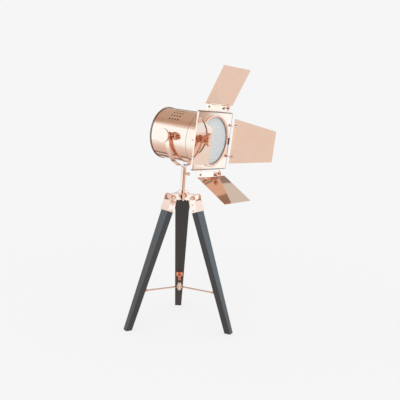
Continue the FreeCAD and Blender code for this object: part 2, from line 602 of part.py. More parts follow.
def make_knob(side):
    """Flared clamping knob, its bore threaded on the pivot bolt."""
    base, rim, length, edge = KNOB_BASE_RADIUS, KNOB_RIM_RADIUS, KNOB_LENGTH, KNOB_EDGE
    bore, dish = STUD_RADIUS + RUNNING_GAP, KNOB_DISH_RADIUS
    rim_start, rim_end = length - edge - KNOB_RIM_LENGTH, length - edge
    knob = turned([(0, bore), (0, base - edge), (edge, base), (KNOB_WAIST, base), (rim_start, rim),
                   (rim_end, rim), (length, rim - edge), (length, dish), (length - KNOB_DISH_DEPTH, 0),
                   (KNOB_BORE_DEPTH, 0), (KNOB_BORE_DEPTH, bore)])
    return placed(knob, Placement(Y_AXIS * side * (YOKE_OUTER + MOVING_GAP), Rotation(X_AXIS, Y_AXIS * side)))


# Front frame, glass and doors ---------------------------------------------------------
def on_side(shape, side):
    """Carry a piece built for the right-hand side round to the named side."""
    return placed(shape, Placement(ORIGIN, Rotation(X_AXIS, QUARTER_TURN * SIDES.index(side))))


def frame_block(half, corner, back, front):
    body = plate([(-half, -half), (half, -half), (half, half), (-half, half)], front - back, corner)
    return placed(body, toward(V((front + back) / 2, 0, 0), X_AXIS))


def make_lug(side, sign):
    """Hinge lug standing off the frame's flange, just inside one door ear."""
    root, pin = (FRAME_BACK - LUG_ROOT_RADIUS, FRAME_HALF - FRAME_SHEET / 2), DOOR_PIN[side]
    lug = link_plate(root, LUG_ROOT_RADIUS, (pin.x, pin.y), LUG_PIN_RADIUS, LUG_SHEET)
    return shifted(lug, 0, 0, LUG_OUTER - LUG_SHEET if sign > 0 else -LUG_OUTER)


def make_door_frame():
    """Square tray with a flange turned back all round, carrying the hinge lugs."""
    back, inner = FRAME_FRONT - FRAME_FLANGE, FRAME_HALF - FRAME_SHEET
    tray = frame_block(FRAME_HALF, FRAME_CORNER, back, FRAME_FRONT)
    rim = [e for e in tray.Edges if e.BoundBox.XMin > FRAME_FRONT - RUNNING_GAP]
    tray = tray.makeChamfer(FRAME_EDGE, rim)
    tray = tray.cut(frame_block(inner, FRAME_CORNER - FRAME_SHEET, back - FRAME_FLANGE, FRAME_BACK))
    frame = fuse([tray] + [on_side(make_lug(side, sign), side) for side in SIDES for sign in (-1, 1)])
    frame = frame.cut(rod(RING_TUBE + RUNNING_GAP, back, FRAME_FRONT, X_AXIS))
    for side in SIDES:
        hole = rod(PIN_RADIUS + RUNNING_GAP, -EAR_OUTER, EAR_OUTER, Z_AXIS, DOOR_PIN[side])
        frame = frame.cut(on_side(hole, side))
    return frame


def make_lens_ring():
    """Turned ring: a bead in front, a stepped tube behind that seats the glass."""
    rear, seat = GLASS_REAR - 2 * SNAP_RING_SIDE, GLASS_RADIUS + RUNNING_GAP
    crest = (RING_BEAD + RING_BORE) / 2
    shoulder = RING_FRONT - RING_EDGE
    tube = [(rear, seat), (rear, RING_TUBE), (FRAME_FRONT, RING_TUBE)]
    bead = [(FRAME_FRONT, RING_BEAD), (shoulder, RING_BEAD - RING_EDGE / 2), (RING_FRONT, crest),
            (shoulder, RING_BORE + RING_EDGE / 2)]
    return turned(tube + bead + [(GLASS_FRONT, RING_BORE), (GLASS_FRONT, seat)])


def make_glass():
    return rod(GLASS_RADIUS, GLASS_REAR, GLASS_FRONT, X_AXIS)


def make_snap_ring():
    """Open square wire ring that holds the glass from behind."""
    side, mouth, radius = SNAP_RING_SIDE, SNAP_RING_MOUTH / 2, GLASS_RADIUS - SNAP_RING_ROOM
    ring = rod(radius, GLASS_REAR - side, GLASS_REAR, X_AXIS)
    ring = ring.cut(rod(radius - side, GLASS_REAR - side, GLASS_REAR, X_AXIS))
    return ring.cut(block((GLASS_REAR - side, -mouth, -2 * GLASS_RADIUS), (GLASS_REAR, mouth, 0)))


def make_ring_clip(side):
    """Spring clip: foot on the frame's face, finger up on the ring's bead."""
    foot_inner = (RING_BEAD + CLIP_REACH) / 2
    lift, bend = RING_FRONT + MOVING_GAP, RING_BEAD - CLIP_HOLD
    tip, sheet = (RING_BORE + RING_BEAD) / 2, CLIP_SHEET
    under = [(FRAME_FRONT, CLIP_REACH), (FRAME_FRONT, foot_inner), (lift, bend), (lift, tip)]
    over = [(lift + sheet, tip), (lift + sheet, bend), (FRAME_FRONT + sheet, foot_inner + sheet),
            (FRAME_FRONT + sheet, CLIP_REACH)]
    clip = prism([V(x, y, -CLIP_WIDTH / 2) for x, y in under + over], V(0, 0, CLIP_WIDTH))
    return on_side(clip, side)


def make_hinge_screw(side, sign):
    """Door pin: head outside the ear, nut inside the lug."""
    inner, outer = LUG_OUTER - LUG_SHEET - SMALL_HEAD_RISE, EAR_OUTER + 2 * RUNNING_GAP
    head = shifted(round_head(SMALL_HEAD_RADIUS, SMALL_HEAD_RISE), 0, 0, outer)
    nut = shifted(hexagon(SMALL_NUT_FLATS, SMALL_HEAD_RISE), 0, 0, inner)
    screw = fuse([rod(PIN_RADIUS, inner, outer), head, nut])
    way = Z_AXIS * sign
    return on_side(placed(screw, Placement(DOOR_PIN[side], Rotation(Z_AXIS, way))), side)


def door_ear(low, high, sign):
    """Ear from corner to corner about the pins, its two free corners rounded."""
    (x0, y0), (x1, y1) = low, high
    ear = plate([(x0, y0), (x1, y0), (x1, y1), (x0, y1)], DOOR_SHEET)
    upright = [e for e in ear.Edges if abs(e.tangentAt(e.FirstParameter).z) > ALONG]
    free = [e for e in upright if e.BoundBox.YMax < (y0 + y1) / 2]
    return shifted(ear.makeFillet(EAR_CORNER, free), 0, 0, sign * EAR_HALF_SPACING)


def hinge_clearance():
    """Pin holes, and a slot beside each ear where the frame's lug swings through."""
    cuts = [rod(PIN_RADIUS + RUNNING_GAP, -2 * EAR_OUTER, 2 * EAR_OUTER)]
    low, high = LUG_OUTER - LUG_SHEET - MOVING_GAP, EAR_HALF_SPACING - DOOR_SHEET / 2
    for start, end in ((low, high), (-high, -low)):
        cuts.append(block((-2 * HINGE_INNER, 0, start), (RELIEF_END, 2 * HINGE_BACK, end)))
    return Part.makeCompound(cuts)


def make_wing():
    """Side door about its pins: tapered panel with two ears bent in."""
    tip, middle = WING_LENGTH - WING_INNER, WING_BACK - DOOR_SHEET / 2
    panel = plate([(-WING_INNER, -WING_HALF_BASE), (tip, -WING_HALF_TIP), (tip, WING_HALF_TIP),
                   (-WING_INNER, WING_HALF_BASE)], DOOR_SHEET, DOOR_CORNER)
    panel = placed(panel, Placement(V(0, middle, 0), Rotation(X_AXIS, QUARTER_TURN)))
    ears = [door_ear((-WING_INNER, -HINGE_FRONT), (HINGE_OUTER, middle), sign) for sign in (-1, 1)]
    return fuse([panel] + ears).cut(hinge_clearance())


def make_flap():
    """Top or bottom door about its pins: a flat flap, set off from a U-shaped strip."""
    half, inner, outer, back = EAR_OUTER, HINGE_INNER, HINGE_OUTER, HINGE_BACK
    to_hinge = Rotation(Z_AXIS, FLAP_BEND_ANGLE)
    base_in_strip = to_hinge.inverted().multVec(V(FLAP_BASE_OUT, FLAP_BASE_BACK, 0))
    strip = block((-inner, back - DOOR_SHEET, -half), (outer, back, half))
    step = block((outer - DOOR_SHEET, base_in_strip.y - DOOR_SHEET / 2, -half), (outer, back, half))
    ears = [door_ear((-inner, -HINGE_FRONT), (outer, back - DOOR_SHEET / 2), sign) for sign in (-1, 1)]
    hinge = placed(fuse([strip, step] + ears).cut(hinge_clearance()), Placement(ORIGIN, to_hinge))
    near, far, wide = FLAP_BASE_OUT - DOOR_SHEET, FLAP_BASE_OUT + FLAP_LENGTH, FLAP_HALF_WIDTH
    flap = plate([(near, -wide), (far, -wide), (far, wide), (near, wide)], DOOR_SHEET, DOOR_CORNER)
    return fuse([hinge, placed(flap, Placement(V(0, FLAP_BASE_BACK, 0), Rotation(X_AXIS, QUARTER_TURN)))])


def make_door(side):
    shape = make_flap() if side in ("top", "bottom") else make_wing()
    shape = placed(shape, Placement(DOOR_PIN[side], Rotation(Z_AXIS, DOOR_OPEN_ANGLE[side])))
    return on_side(shape, side)


# Lamp holder, bulb and cord entry -----------------------------------------------------
def make_nipple():
    start, end = COVER_BACK - NIPPLE_OUT, HOLDER_REAR + NIPPLE_IN
    return rod(NIPPLE_RADIUS, start, end, X_AXIS).cut(rod(NIPPLE_BORE, start, end, X_AXIS))


def make_lamp_holder():
    bore, cap = NIPPLE_RADIUS + RUNNING_GAP, CAP_RADIUS + RUNNING_GAP
    floor, mouth = HOLDER_REAR + NIPPLE_IN, HOLDER_REAR + HOLDER_LENGTH
    step = floor + HOLDER_RADIUS - HOLDER_WAIST
    outside = [(HOLDER_REAR, bore), (HOLDER_REAR, HOLDER_WAIST), (floor, HOLDER_WAIST), (step, HOLDER_RADIUS),
               (mouth, HOLDER_RADIUS)]
    return turned(outside + [(mouth, cap), (CAP_REAR, cap), (CAP_REAR, 0), (floor, 0), (floor, bore)])


def make_bulb():
    """Golf-ball bulb: screw cap, short neck and round glass."""
    neck = CAP_REAR + CAP_LENGTH + MOVING_GAP
    mouth = neck + BULB_NECK_LENGTH
    centre = mouth + math.sqrt(BULB_RADIUS ** 2 - BULB_NECK_RADIUS ** 2)
    neck_angle = math.degrees(math.asin(BULB_NECK_RADIUS / BULB_RADIUS))
    glass = round_profile(centre, BULB_RADIUS, neck_angle, BULB_BANDS)
    cap = [(CAP_REAR, 0), (CAP_REAR, CAP_RADIUS), (neck, CAP_RADIUS)]
    return turned(cap + [(neck, BULB_NECK_RADIUS)] + glass)


def make_gland():
    """Moulded cord entry screwed on the nipple behind the cover."""
    bore, step, tip = NIPPLE_RADIUS + RUNNING_GAP, COVER_BACK - GLAND_FOOT, COVER_BACK - GLAND_LENGTH
    outside = [(tip, NIPPLE_BORE), (tip, GLAND_TIP_RADIUS), (step, GLAND_NECK_RADIUS), (step, GLAND_RADIUS),
               (COVER_BACK, GLAND_RADIUS)]
    end = COVER_BACK - NIPPLE_OUT
    return turned(outside + [(COVER_BACK, bore), (end, bore), (end, NIPPLE_BORE)])


# The assembly -------------------------------------------------------------------------
def make_tripod():
    nodes = {"hub": make_hub(), "pole": make_pole(), "pole_set_screw": make_set_screw(),
             "brace_hub": make_brace_hub(), "brace_bolt": make_brace_bolt()}
    leg, sleeve, strap, bracket = make_leg(), make_sleeve(), make_brace_strap(), make_brace_bracket()
    screw = make_bracket_screw()
    bolts, nuts, screws = [], [], []
    for name, angle in LEG_ANGLES.items():
        nodes["leg_" + name] = round_pole(leg, angle)
        nodes["leg_sleeve_" + name] = round_pole(sleeve, angle)
        nodes["brace_strap_" + name] = round_pole(strap, angle)
        nodes["brace_bracket_" + name] = round_pole(bracket, angle)
        bolts.append(round_pole(make_leg_bolt(NUT_SIDE[name]), angle))
        nuts.append(round_pole(make_acorn_nut(NUT_SIDE[name]), angle))
        screws.append(round_pole(screw, angle))
    nodes["leg_bolts"] = Part.makeCompound(bolts)
    nodes["acorn_nuts"] = Part.makeCompound(nuts)
    nodes["bracket_screws"] = Part.makeCompound(screws)
    return nodes


def make_swivel():
    return {"yoke": make_yoke(), "swivel_spigot": make_spigot(), "swivel_nut": make_swivel_nut()}


def make_head():
    head = {"drum_shell": make_drum(), "rear_cover": make_rear_cover(), "front_collar": make_collar(),
            "door_frame": make_door_frame(), "lens_ring": make_lens_ring(), "lens": make_glass(),
            "lens_snap_ring": make_snap_ring(), "holder_nipple": make_nipple(),
            "lamp_holder": make_lamp_holder(), "bulb": make_bulb(), "cord_gland": make_gland()}
    for name, side in (("left", -1), ("right", 1)):
        head["pivot_bolt_" + name] = make_pivot_bolt(side)
        head["pivot_spacer_" + name] = make_spacer(side)
        head["knob_" + name] = make_knob(side)
        head["ring_clip_" + name] = make_ring_clip(name)
    for side in SIDES:
        head["door_" + side] = make_door(side)
        screws = [make_hinge_screw(side, sign) for sign in (-1, 1)]
        head["hinge_screws_" + side] = Part.makeCompound(screws)
    return {name: placed(shape, HEAD) for name, shape in head.items()}


os.makedirs("parts", exist_ok=True)
for node, shape in {**make_tripod(), **make_swivel(), **make_head()}.items():
    shape.exportStep("parts/" + node + ".step")
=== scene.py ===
import math

import bmesh
import bpy
from mathutils import Matrix, Vector


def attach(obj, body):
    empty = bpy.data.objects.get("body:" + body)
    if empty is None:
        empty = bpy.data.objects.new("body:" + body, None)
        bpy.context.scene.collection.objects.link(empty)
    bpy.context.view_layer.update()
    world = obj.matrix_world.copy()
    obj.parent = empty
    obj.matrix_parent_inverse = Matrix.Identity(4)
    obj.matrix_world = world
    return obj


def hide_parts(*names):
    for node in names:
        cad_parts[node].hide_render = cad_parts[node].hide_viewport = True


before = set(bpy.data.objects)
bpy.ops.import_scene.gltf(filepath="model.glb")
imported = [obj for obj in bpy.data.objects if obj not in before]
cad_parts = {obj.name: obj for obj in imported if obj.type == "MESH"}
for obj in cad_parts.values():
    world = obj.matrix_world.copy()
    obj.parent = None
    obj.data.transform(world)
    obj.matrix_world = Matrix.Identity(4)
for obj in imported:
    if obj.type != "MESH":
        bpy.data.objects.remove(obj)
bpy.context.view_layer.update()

# Studio ------------------------------------------------------------------------------
# A white table runs into a white room. Screens, light boxes and dark flags stand round it
# under a dim warm ceiling, so that polished metal has something to show. Only mirrored
# rays meet them.
PAPER, WHITE = (0.921, 0.921, 0.921, 1), (1, 1, 1, 1)
ROOM_LIGHT = 0.90
FLOOR_HALF_WIDTH = 40.0
FLOOR_FADE_START, FLOOR_FADE_END, FLOOR_GLOW = 0.4, 1.4, 0.84
CAMERA_PLACE, CAMERA_AIM = (-1.133, -0.868, 0.5016), (0.0, 0.0, 0.3228)
CAMERA_LENS, CAMERA_SHIFT = 50.55, 0.0432
CAMERA_ROLL = math.radians(2.16)
SOFT_BOX_WIDTH, SOFT_BOX_DEPTH, SOFT_BOX_POWER = 1.6, 1.2, 9.0
SOFT_BOX_PLACE, SOFT_BOX_AIM = (-1.5, -0.7, 2.0), (0.0, 0.0, 0.25)
SCREEN_STEPS = 24
CEILING_HEIGHT, CEILING_BOARD_HEIGHT, TABLE_BOARD_HEIGHT = 2.08, 2.05, 0.004
COOL_WHITE = (1.18, 1.61, 1.84, 1)
ROSE_WHITE = (1.10, 1.27, 1.42, 1)
DOOR_WHITE = (1.10, 1.72, 2.10, 1)
STRIP_WHITE = (1.16, 1.50, 1.62, 1)
GREEN_WHITE = (1.0, 1.44, 1.82, 1)
LIGHT_BOX = (1.5, 2.7, 4.0, 1)
PALE = (0.93, 0.96, 0.96, 1)
DULL_WHITE = (0.72, 0.77, 0.77, 1)
DIM_WARM = (0.60, 0.52, 0.44, 1)
DEEP_WARM = (0.54, 0.43, 0.36, 1)
DUSK = (0.42, 0.40, 0.40, 1)
RIM_SHADE = (0.36, 0.31, 0.28, 1)
SHADE, SHADE_EDGE = (0.33, 0.29, 0.26, 1), (0.60, 0.55, 0.50, 1)
BLACK = (0.045, 0.03, 0.028, 1)
GLOW_NEAR, GLOW_MIDDLE, GLOW_END = (1.06, 1.37, 1.52, 1), (0.90, 0.90, 0.88, 1), (0.72, 0.66, 0.63, 1)

scene = bpy.context.scene
scene.view_settings.view_transform = "Standard"


def in_scene(obj):
    bpy.context.collection.objects.link(obj)
    return obj


def node_maker(tree):
    """Function that adds a shader node, given its settings and numbers, colours or outputs."""
    def add(kind, inputs=(), **settings):
        node = tree.nodes.new("ShaderNode" + kind)
        for setting, value in settings.items():
            setattr(node, setting, value)
        for socket, value in dict(inputs).items():
            if isinstance(value, bpy.types.NodeSocket):
                tree.links.new(value, node.inputs[socket])
            else:
                node.inputs[socket].default_value = value
        return node

    return add


def node_material(name):
    """A fresh material and the function that adds nodes to it."""
    material = bpy.data.materials.new(name)
    material.use_nodes = True
    material.node_tree.nodes.clear()
    return material, node_maker(material.node_tree)


camera_data = bpy.data.cameras.new("camera")
camera_data.lens = CAMERA_LENS
camera_data.shift_x = CAMERA_SHIFT
camera = in_scene(bpy.data.objects.new("camera", camera_data))
looking = (Vector(CAMERA_AIM) - Vector(CAMERA_PLACE)).to_track_quat("-Z", "Y").to_matrix().to_4x4()
camera.matrix_world = Matrix.Translation(CAMERA_PLACE) @ looking @ Matrix.Rotation(CAMERA_ROLL, 4, "Z")
scene.camera = camera

world = bpy.data.worlds.new("room")
world.use_nodes = True
world.node_tree.nodes.clear()
scene.world = world
add = node_maker(world.node_tree)
rays = add("LightPath").outputs
mirrored = add("Math", {0: rays["Is Glossy Ray"], 1: rays["Is Transmission Ray"]}, operation="MAXIMUM")
seen = add("Math", {0: rays["Is Camera Ray"], 1: mirrored.outputs[0]}, operation="MAXIMUM")
lit_room = add("Background", {"Color": WHITE, "Strength": ROOM_LIGHT})
seen_room = add("Background", {"Color": PAPER})
room = add("MixShader", {0: seen.outputs[0], 1: lit_room.outputs[0], 2: seen_room.outputs[0]})
add("OutputWorld", {"Surface": room.outputs[0]})

table, add = node_material("table_white")
matt = add("BsdfDiffuse", {"Color": PAPER})
glow = add("Emission", {"Color": PAPER})
how_far = add("VectorMath", {0: add("NewGeometry").outputs["Position"]}, operation="LENGTH")
fade = add("MapRange", {"Value": how_far.outputs["Value"], "From Min": FLOOR_FADE_START,
                        "From Max": FLOOR_FADE_END, "To Min": FLOOR_GLOW})
blend = add("MixShader", {0: fade.outputs["Result"], 1: matt.outputs[0], 2: glow.outputs[0]})
add("OutputMaterial", {"Surface": blend.outputs[0]})
top_mesh = bpy.data.meshes.new("table_top")
edge = FLOOR_HALF_WIDTH
top_mesh.from_pydata([(-edge, -edge, 0), (edge, -edge, 0), (edge, edge, 0), (-edge, edge, 0)], [],
                     [(0, 1, 2, 3)])
top_mesh.materials.append(table)
table_top = in_scene(bpy.data.objects.new("table_top", top_mesh))


def reflector(name, points, faces, axis, stops):
    """Sheet that only polished metal sees; its brightness runs along one axis by stops."""
    paint, add = node_material(name)
    along = add("SeparateXYZ", {0: add("TexCoord").outputs["Object"]}).outputs[axis]
    low, high = stops[0][0], stops[-1][0]
    span = add("MapRange", {"Value": along, "From Min": low, "From Max": high})
    ramp = add("ValToRGB", {0: span.outputs["Result"]})
    for number, (spot, colour) in enumerate(stops):
        step = (spot - low) / (high - low)
        mark = ramp.color_ramp.elements[number] if number < 2 else ramp.color_ramp.elements.new(step)
        mark.position = step
        mark.color = colour
    straight = add("Math", {0: add("LightPath").outputs["Diffuse Depth"], 1: 0.5}, operation="LESS_THAN")
    shine = add("Emission", {"Color": ramp.outputs["Color"], "Strength": straight.outputs[0]})
    add("OutputMaterial", {"Surface": shine.outputs[0]})
    mesh = bpy.data.meshes.new(name)
    mesh.from_pydata(points, [], faces)
    mesh.materials.append(paint)
    sheet = in_scene(bpy.data.objects.new(name, mesh))
    sheet.visible_camera = sheet.visible_diffuse = sheet.visible_shadow = sheet.visible_transmission = False


def screen(name, start, end, radius, stops):
    """Upright curved screen round the table, between two bearings in degrees."""
    points = []
    for k in range(SCREEN_STEPS + 1):
        turn = math.radians(start + (end - start) * k / SCREEN_STEPS)
        for up in (stops[0][0], stops[-1][0]):
            points.append((radius * math.cos(turn), radius * math.sin(turn), up))
    faces = [(2 * k, 2 * k + 2, 2 * k + 3, 2 * k + 1) for k in range(SCREEN_STEPS)]
    reflector(name, points, faces, "Z", stops)


def level_board(name, near, far, height, stops):
    """Level board whose brightness runs from left to right by stops."""
    left, right = stops[0][0], stops[-1][0]
    reflector(name, [(left, near, height), (right, near, height), (right, far, height), (left, far, height)],
              [(0, 1, 2, 3)], "X", stops)


def even(low, high, colour):
    """Stops of a sheet that is the same all over."""
    return [(low, colour), (high, colour)]


screen("rear_left_screen", 113, 172, 1.3, [(0.02, COOL_WHITE), (1.25, COOL_WHITE), (1.42, PALE)])
screen("rear_screen", 58, 113, 1.3,
       [(0.02, PALE), (0.45, PALE), (0.60, ROSE_WHITE), (0.95, ROSE_WHITE), (1.05, PALE)])
screen("front_right_screen", -98, -4, 2.2,
       [(0.0, COOL_WHITE), (0.45, COOL_WHITE), (0.65, ROSE_WHITE), (1.5, ROSE_WHITE)])
screen("rear_right_flag", 2, 56, 2.0, even(0.18, 0.50, RIM_SHADE))
screen("rear_right_board", 2, 56, 2.0, even(0.64, 1.5, RIM_SHADE))
screen("camera_flag", -180, -150, 0.35, even(0.25, 0.335, BLACK))
screen("pole_flag", -168, -146, 0.36, even(0.33, 0.375, BLACK))
screen("near_light_box", -99, -80, 0.5, even(0.39, 0.52, LIGHT_BOX))
screen("rear_light_box", 80.6, 92, 1.25, even(0.53, 0.72, LIGHT_BOX))
screen("top_light_box", -153, -139, 1.5, even(0.66, 0.86, LIGHT_BOX))
screen("bezel_light", -45, -33, 2.1, even(1.05, 1.4, LIGHT_BOX))
screen("door_light", 94, 112, 1.27, even(0.70, 0.97, DOOR_WHITE))
screen("strip_light", -43, -31, 2.1, even(0.72, 0.95, STRIP_WHITE))
screen("front_light_box", -104, -90, 2.15, even(0.9, 1.3, LIGHT_BOX))
reflector("corner_shade",
          [(1.66, -1.40, 0.27), (1.79, -1.25, 0.27), (1.79, -1.25, 0.55), (1.66, -1.40, 0.55)],
          [(0, 1, 2, 3)], "Y",
          [(-1.40, DIM_WARM), (-1.33, DIM_WARM), (-1.28, COOL_WHITE), (-1.25, COOL_WHITE)])
level_board("ceiling", -0.6, 3.6, CEILING_HEIGHT,
            [(-1.5, PALE), (-1.15, DIM_WARM), (-0.7, DEEP_WARM), (-0.3, DIM_WARM), (1.9, DIM_WARM),
             (2.4, PALE)])
dusk_corners = ((-2.6, -2.84), (-1.5, -1.69), (-1.5, -3.2), (-2.6, -3.2))
reflector("front_ceiling", [(x, y, CEILING_HEIGHT) for x, y in dusk_corners], [(0, 1, 2, 3)], "X",
          even(-2.6, -1.5, DUSK))
level_board("ceiling_gap", 0.238, 0.75, CEILING_BOARD_HEIGHT, even(1.3, 3.1, SHADE))
level_board("ceiling_end", -0.6, 0.238, CEILING_BOARD_HEIGHT, even(1.3, 3.1, DULL_WHITE))
level_board("table_glow", 0.3, 1.1, TABLE_BOARD_HEIGHT,
            [(-1.0, COOL_WHITE), (-0.72, GLOW_NEAR), (-0.36, GLOW_MIDDLE), (-0.03, GLOW_END)])
level_board("table_shade", 0.3, 1.1, TABLE_BOARD_HEIGHT, [(-0.02, SHADE_EDGE), (0.04, SHADE), (0.12, SHADE)])
level_board("table_flag", 0.47, 1.1, TABLE_BOARD_HEIGHT, even(0.20, 0.55, SHADE))
level_board("table_light", -1.2, -0.8, TABLE_BOARD_HEIGHT, even(-0.3, 0.15, GREEN_WHITE))
level_board("far_light", -2.15, -1.75, TABLE_BOARD_HEIGHT, even(-0.4, 0.1, LIGHT_BOX))

lamp_data = bpy.data.lights.new("soft_box", "AREA")
lamp_data.shape = "RECTANGLE"
lamp_data.size, lamp_data.size_y = SOFT_BOX_WIDTH, SOFT_BOX_DEPTH
lamp_data.energy = SOFT_BOX_POWER
soft_box = in_scene(bpy.data.objects.new("soft_box", lamp_data))
soft_box.location = SOFT_BOX_PLACE
soft_box.rotation_euler = (Vector(SOFT_BOX_AIM) - soft_box.location).to_track_quat("-Z", "Y").to_euler()
soft_box.visible_glossy = False

# Legs --------------------------------------------------------------------------------
# Three tapered sticks of close-grained hardwood, stained black under a satin lacquer.
# The long edges are eased by hand and each foot is cut level with the table.
MM = 0.001
LEG_TURNS = {"front": math.radians(-81.8), "right": math.radians(38.2), "left": math.radians(158.2)}
LEAN = math.radians(18.86)
FOOT_REACH = 146.0
LEG_LENGTH = 341.0
LEG_HALF_THICKNESS = 7.75
LEG_FOOT_WIDTH = 17.8
LEG_TAPER = 0.0606
LEG_SHOULDER = 323.0
LEG_TOP_WIDTH = 29.5
LEG_EASED_EDGE = 1.8
LEG_EDGE_STEPS = 5
LEG_CUT_EDGE = 0.45
STAIN_DARK = (0.0060, 0.0058, 0.0064, 1)
STAIN_LIGHT = (0.0140, 0.0135, 0.0145, 1)
WARM_SHEEN = (1.0, 0.89, 0.84, 1)
GRAIN = (1500.0, 1500.0, 34.0)
RELIEF_DEPTH = 0.2 * MM


def noise(add, place, scale, detail, **more):
    """Cloudy grey of a given fineness, 0 to 1."""
    inputs = {"Vector": place, "Scale": scale, "Detail": detail}
    return add("TexNoise", inputs | more).outputs["Fac"]


def bumped(add, height, strength):
    """Normal of a surface that a height between 0 and 1 roughens."""
    return add("Bump", {"Height": height, "Strength": strength, "Distance": RELIEF_DEPTH}).outputs["Normal"]


def between(add, factor, first, second):
    """Colour that runs from the first to the second as factor goes from 0 to 1."""
    return add("Mix", {"Factor": factor, "A": first, "B": second}, data_type="RGBA").outputs["Result"]


def stained_wood():
    """Black stain over close grain that runs along each stick."""
    material, add = node_material("black_stained_wood")
    place = add("Attribute", attribute_name="along_stick").outputs["Vector"]
    along = add("Mapping", {"Vector": place, "Scale": GRAIN}).outputs["Vector"]
    streaks = noise(add, along, 1.0, 5.0, Roughness=0.62)
    cloudy = noise(add, place, 26.0, 2.0)
    both = add("Math", {0: streaks, 1: cloudy}, operation="MULTIPLY").outputs[0]
    tone = add("MapRange", {"Value": both, "From Min": 0.14, "From Max": 0.40}).outputs["Result"]
    satin = add("MapRange", {"Value": streaks, "To Min": 0.33, "To Max": 0.45}).outputs["Result"]
    lacquer = add("BsdfPrincipled", {"Base Color": between(add, tone, STAIN_DARK, STAIN_LIGHT),
                                     "Roughness": satin, "Normal": bumped(add, streaks, 0.10), "IOR": 1.5,
                                     "Specular IOR Level": 0.82, "Specular Tint": WARM_SHEEN})
    add("OutputMaterial", {"Surface": lacquer.outputs[0]})
    return material


def smooth(obj, crease=38.0):
    """Round faces run on smoothly, flats stay flat and corners stay crisp."""
    obj.data.polygons.foreach_set("use_smooth", [True] * len(obj.data.polygons))
    obj.data.set_sharp_from_angle(angle=math.radians(crease))
    normals = obj.modifiers.new("even_normals", "WEIGHTED_NORMAL")
    normals.keep_sharp = True
    return obj


def mesh_of(name, bm):
    mesh = bpy.data.meshes.new(name)
    bm.to_mesh(mesh)
    bm.free()
    return mesh


def from_bmesh(name, bm, place=Matrix.Identity(4)):
    """Object of a closed mesh, faces turned outward, set at its place in the frame."""
    bmesh.ops.recalc_face_normals(bm, faces=bm.faces)
    obj = in_scene(bpy.data.objects.new(name, mesh_of(name, bm)))
    obj.matrix_world = place
    return obj


def fitted(obj, body, slot, material, *stands_for):
    """Give a piece its finish and set it on the body that carries it."""
    obj.data.materials.clear()
    obj.data.materials.append(material)
    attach(obj, body)
    if stands_for:
        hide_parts(*stands_for)
    return obj


def leg_place(name):
    """A leg's own axes: z runs up along the stick and x points out from the pole."""
    return (Matrix.Rotation(LEG_TURNS[name], 4, "Z") @ Matrix.Translation((FOOT_REACH * MM, 0, 0))
            @ Matrix.Rotation(-LEAN, 4, "Y"))


def half_width(up):
    """Half of a leg's width at a length along it; past the shoulders it tapers in."""
    shoulder = (LEG_FOOT_WIDTH + LEG_TAPER * LEG_SHOULDER) / 2
    if up <= LEG_SHOULDER:
        return (LEG_FOOT_WIDTH + LEG_TAPER * up) / 2
    return shoulder + (LEG_TOP_WIDTH / 2 - shoulder) * (up - LEG_SHOULDER) / (LEG_LENGTH - LEG_SHOULDER)


def leg_stick():
    """Loft of rounded rectangles; the foot's ring lies in the plane of the table."""
    bm = bmesh.new()
    cut = LEG_CUT_EDGE
    rings = [(0.0, cut), (cut * 0.35, cut * 0.3), (cut, 0.0), (LEG_SHOULDER, 0.0),
             (LEG_LENGTH - cut, 0.0), (LEG_LENGTH - cut * 0.35, cut * 0.3), (LEG_LENGTH, cut)]
    rows = []
    for up, drawn_in in rings:
        row = []
        for quarter in range(4):
            for step in range(LEG_EDGE_STEPS + 1):
                turn = math.pi / 2 * (quarter + step / LEG_EDGE_STEPS)
                side_x = 1 if quarter in (0, 3) else -1
                side_y = 1 if quarter in (0, 1) else -1
                eased_x = (LEG_EASED_EDGE - drawn_in) * math.cos(turn)
                eased_y = (LEG_EASED_EDGE - drawn_in) * math.sin(turn)
                x = side_x * (LEG_HALF_THICKNESS - LEG_EASED_EDGE) + eased_x
                z = up - x * math.tan(LEAN) * (1 - up / LEG_LENGTH)
                y = side_y * (half_width(z) - LEG_EASED_EDGE) + eased_y
                row.append(bm.verts.new((x * MM, y * MM, z * MM)))
        rows.append(row)
    for row, after in zip(rows, rows[1:]):
        for k in range(len(row)):
            n = (k + 1) % len(row)
            bm.faces.new([row[k], row[n], after[n], after[k]])
    bm.faces.new(rows[0])
    bm.faces.new(rows[-1])
    return bm


black_wood = stained_wood()
for leg in LEG_TURNS:
    stick = from_bmesh(leg + "_leg_stick", leg_stick())
    along = stick.data.attributes.new("along_stick", "FLOAT_VECTOR", "POINT")
    for vertex, mark in zip(stick.data.vertices, along.data):
        mark.vector = vertex.co + Vector((0, LEG_TURNS[leg], 0))
    stick.data.transform(leg_place(leg))
    smooth(stick, 60.0)
    fitted(stick, "tripod", "black_wood", black_wood, "leg_" + leg)

# Leg sleeves -------------------------------------------------------------------------
# Sheet steel folded round the top of each leg, with two ears for the cross bolt. It is
# polished and plated with copper, and the cut edges are broken before plating.
COPPER = (0.860, 0.585, 0.470, 1)
COPPER_DEEP = (0.810, 0.500, 0.375, 1)
# Brown for painted shade: dark lines at rims, bends and between parts.
SHADE_BROWN = (0.27, 0.185, 0.145, 1)
SHEET_EDGE = 0.3
SHARP_CORNER, FLAT_FACE = math.radians(32), math.radians(0.4)


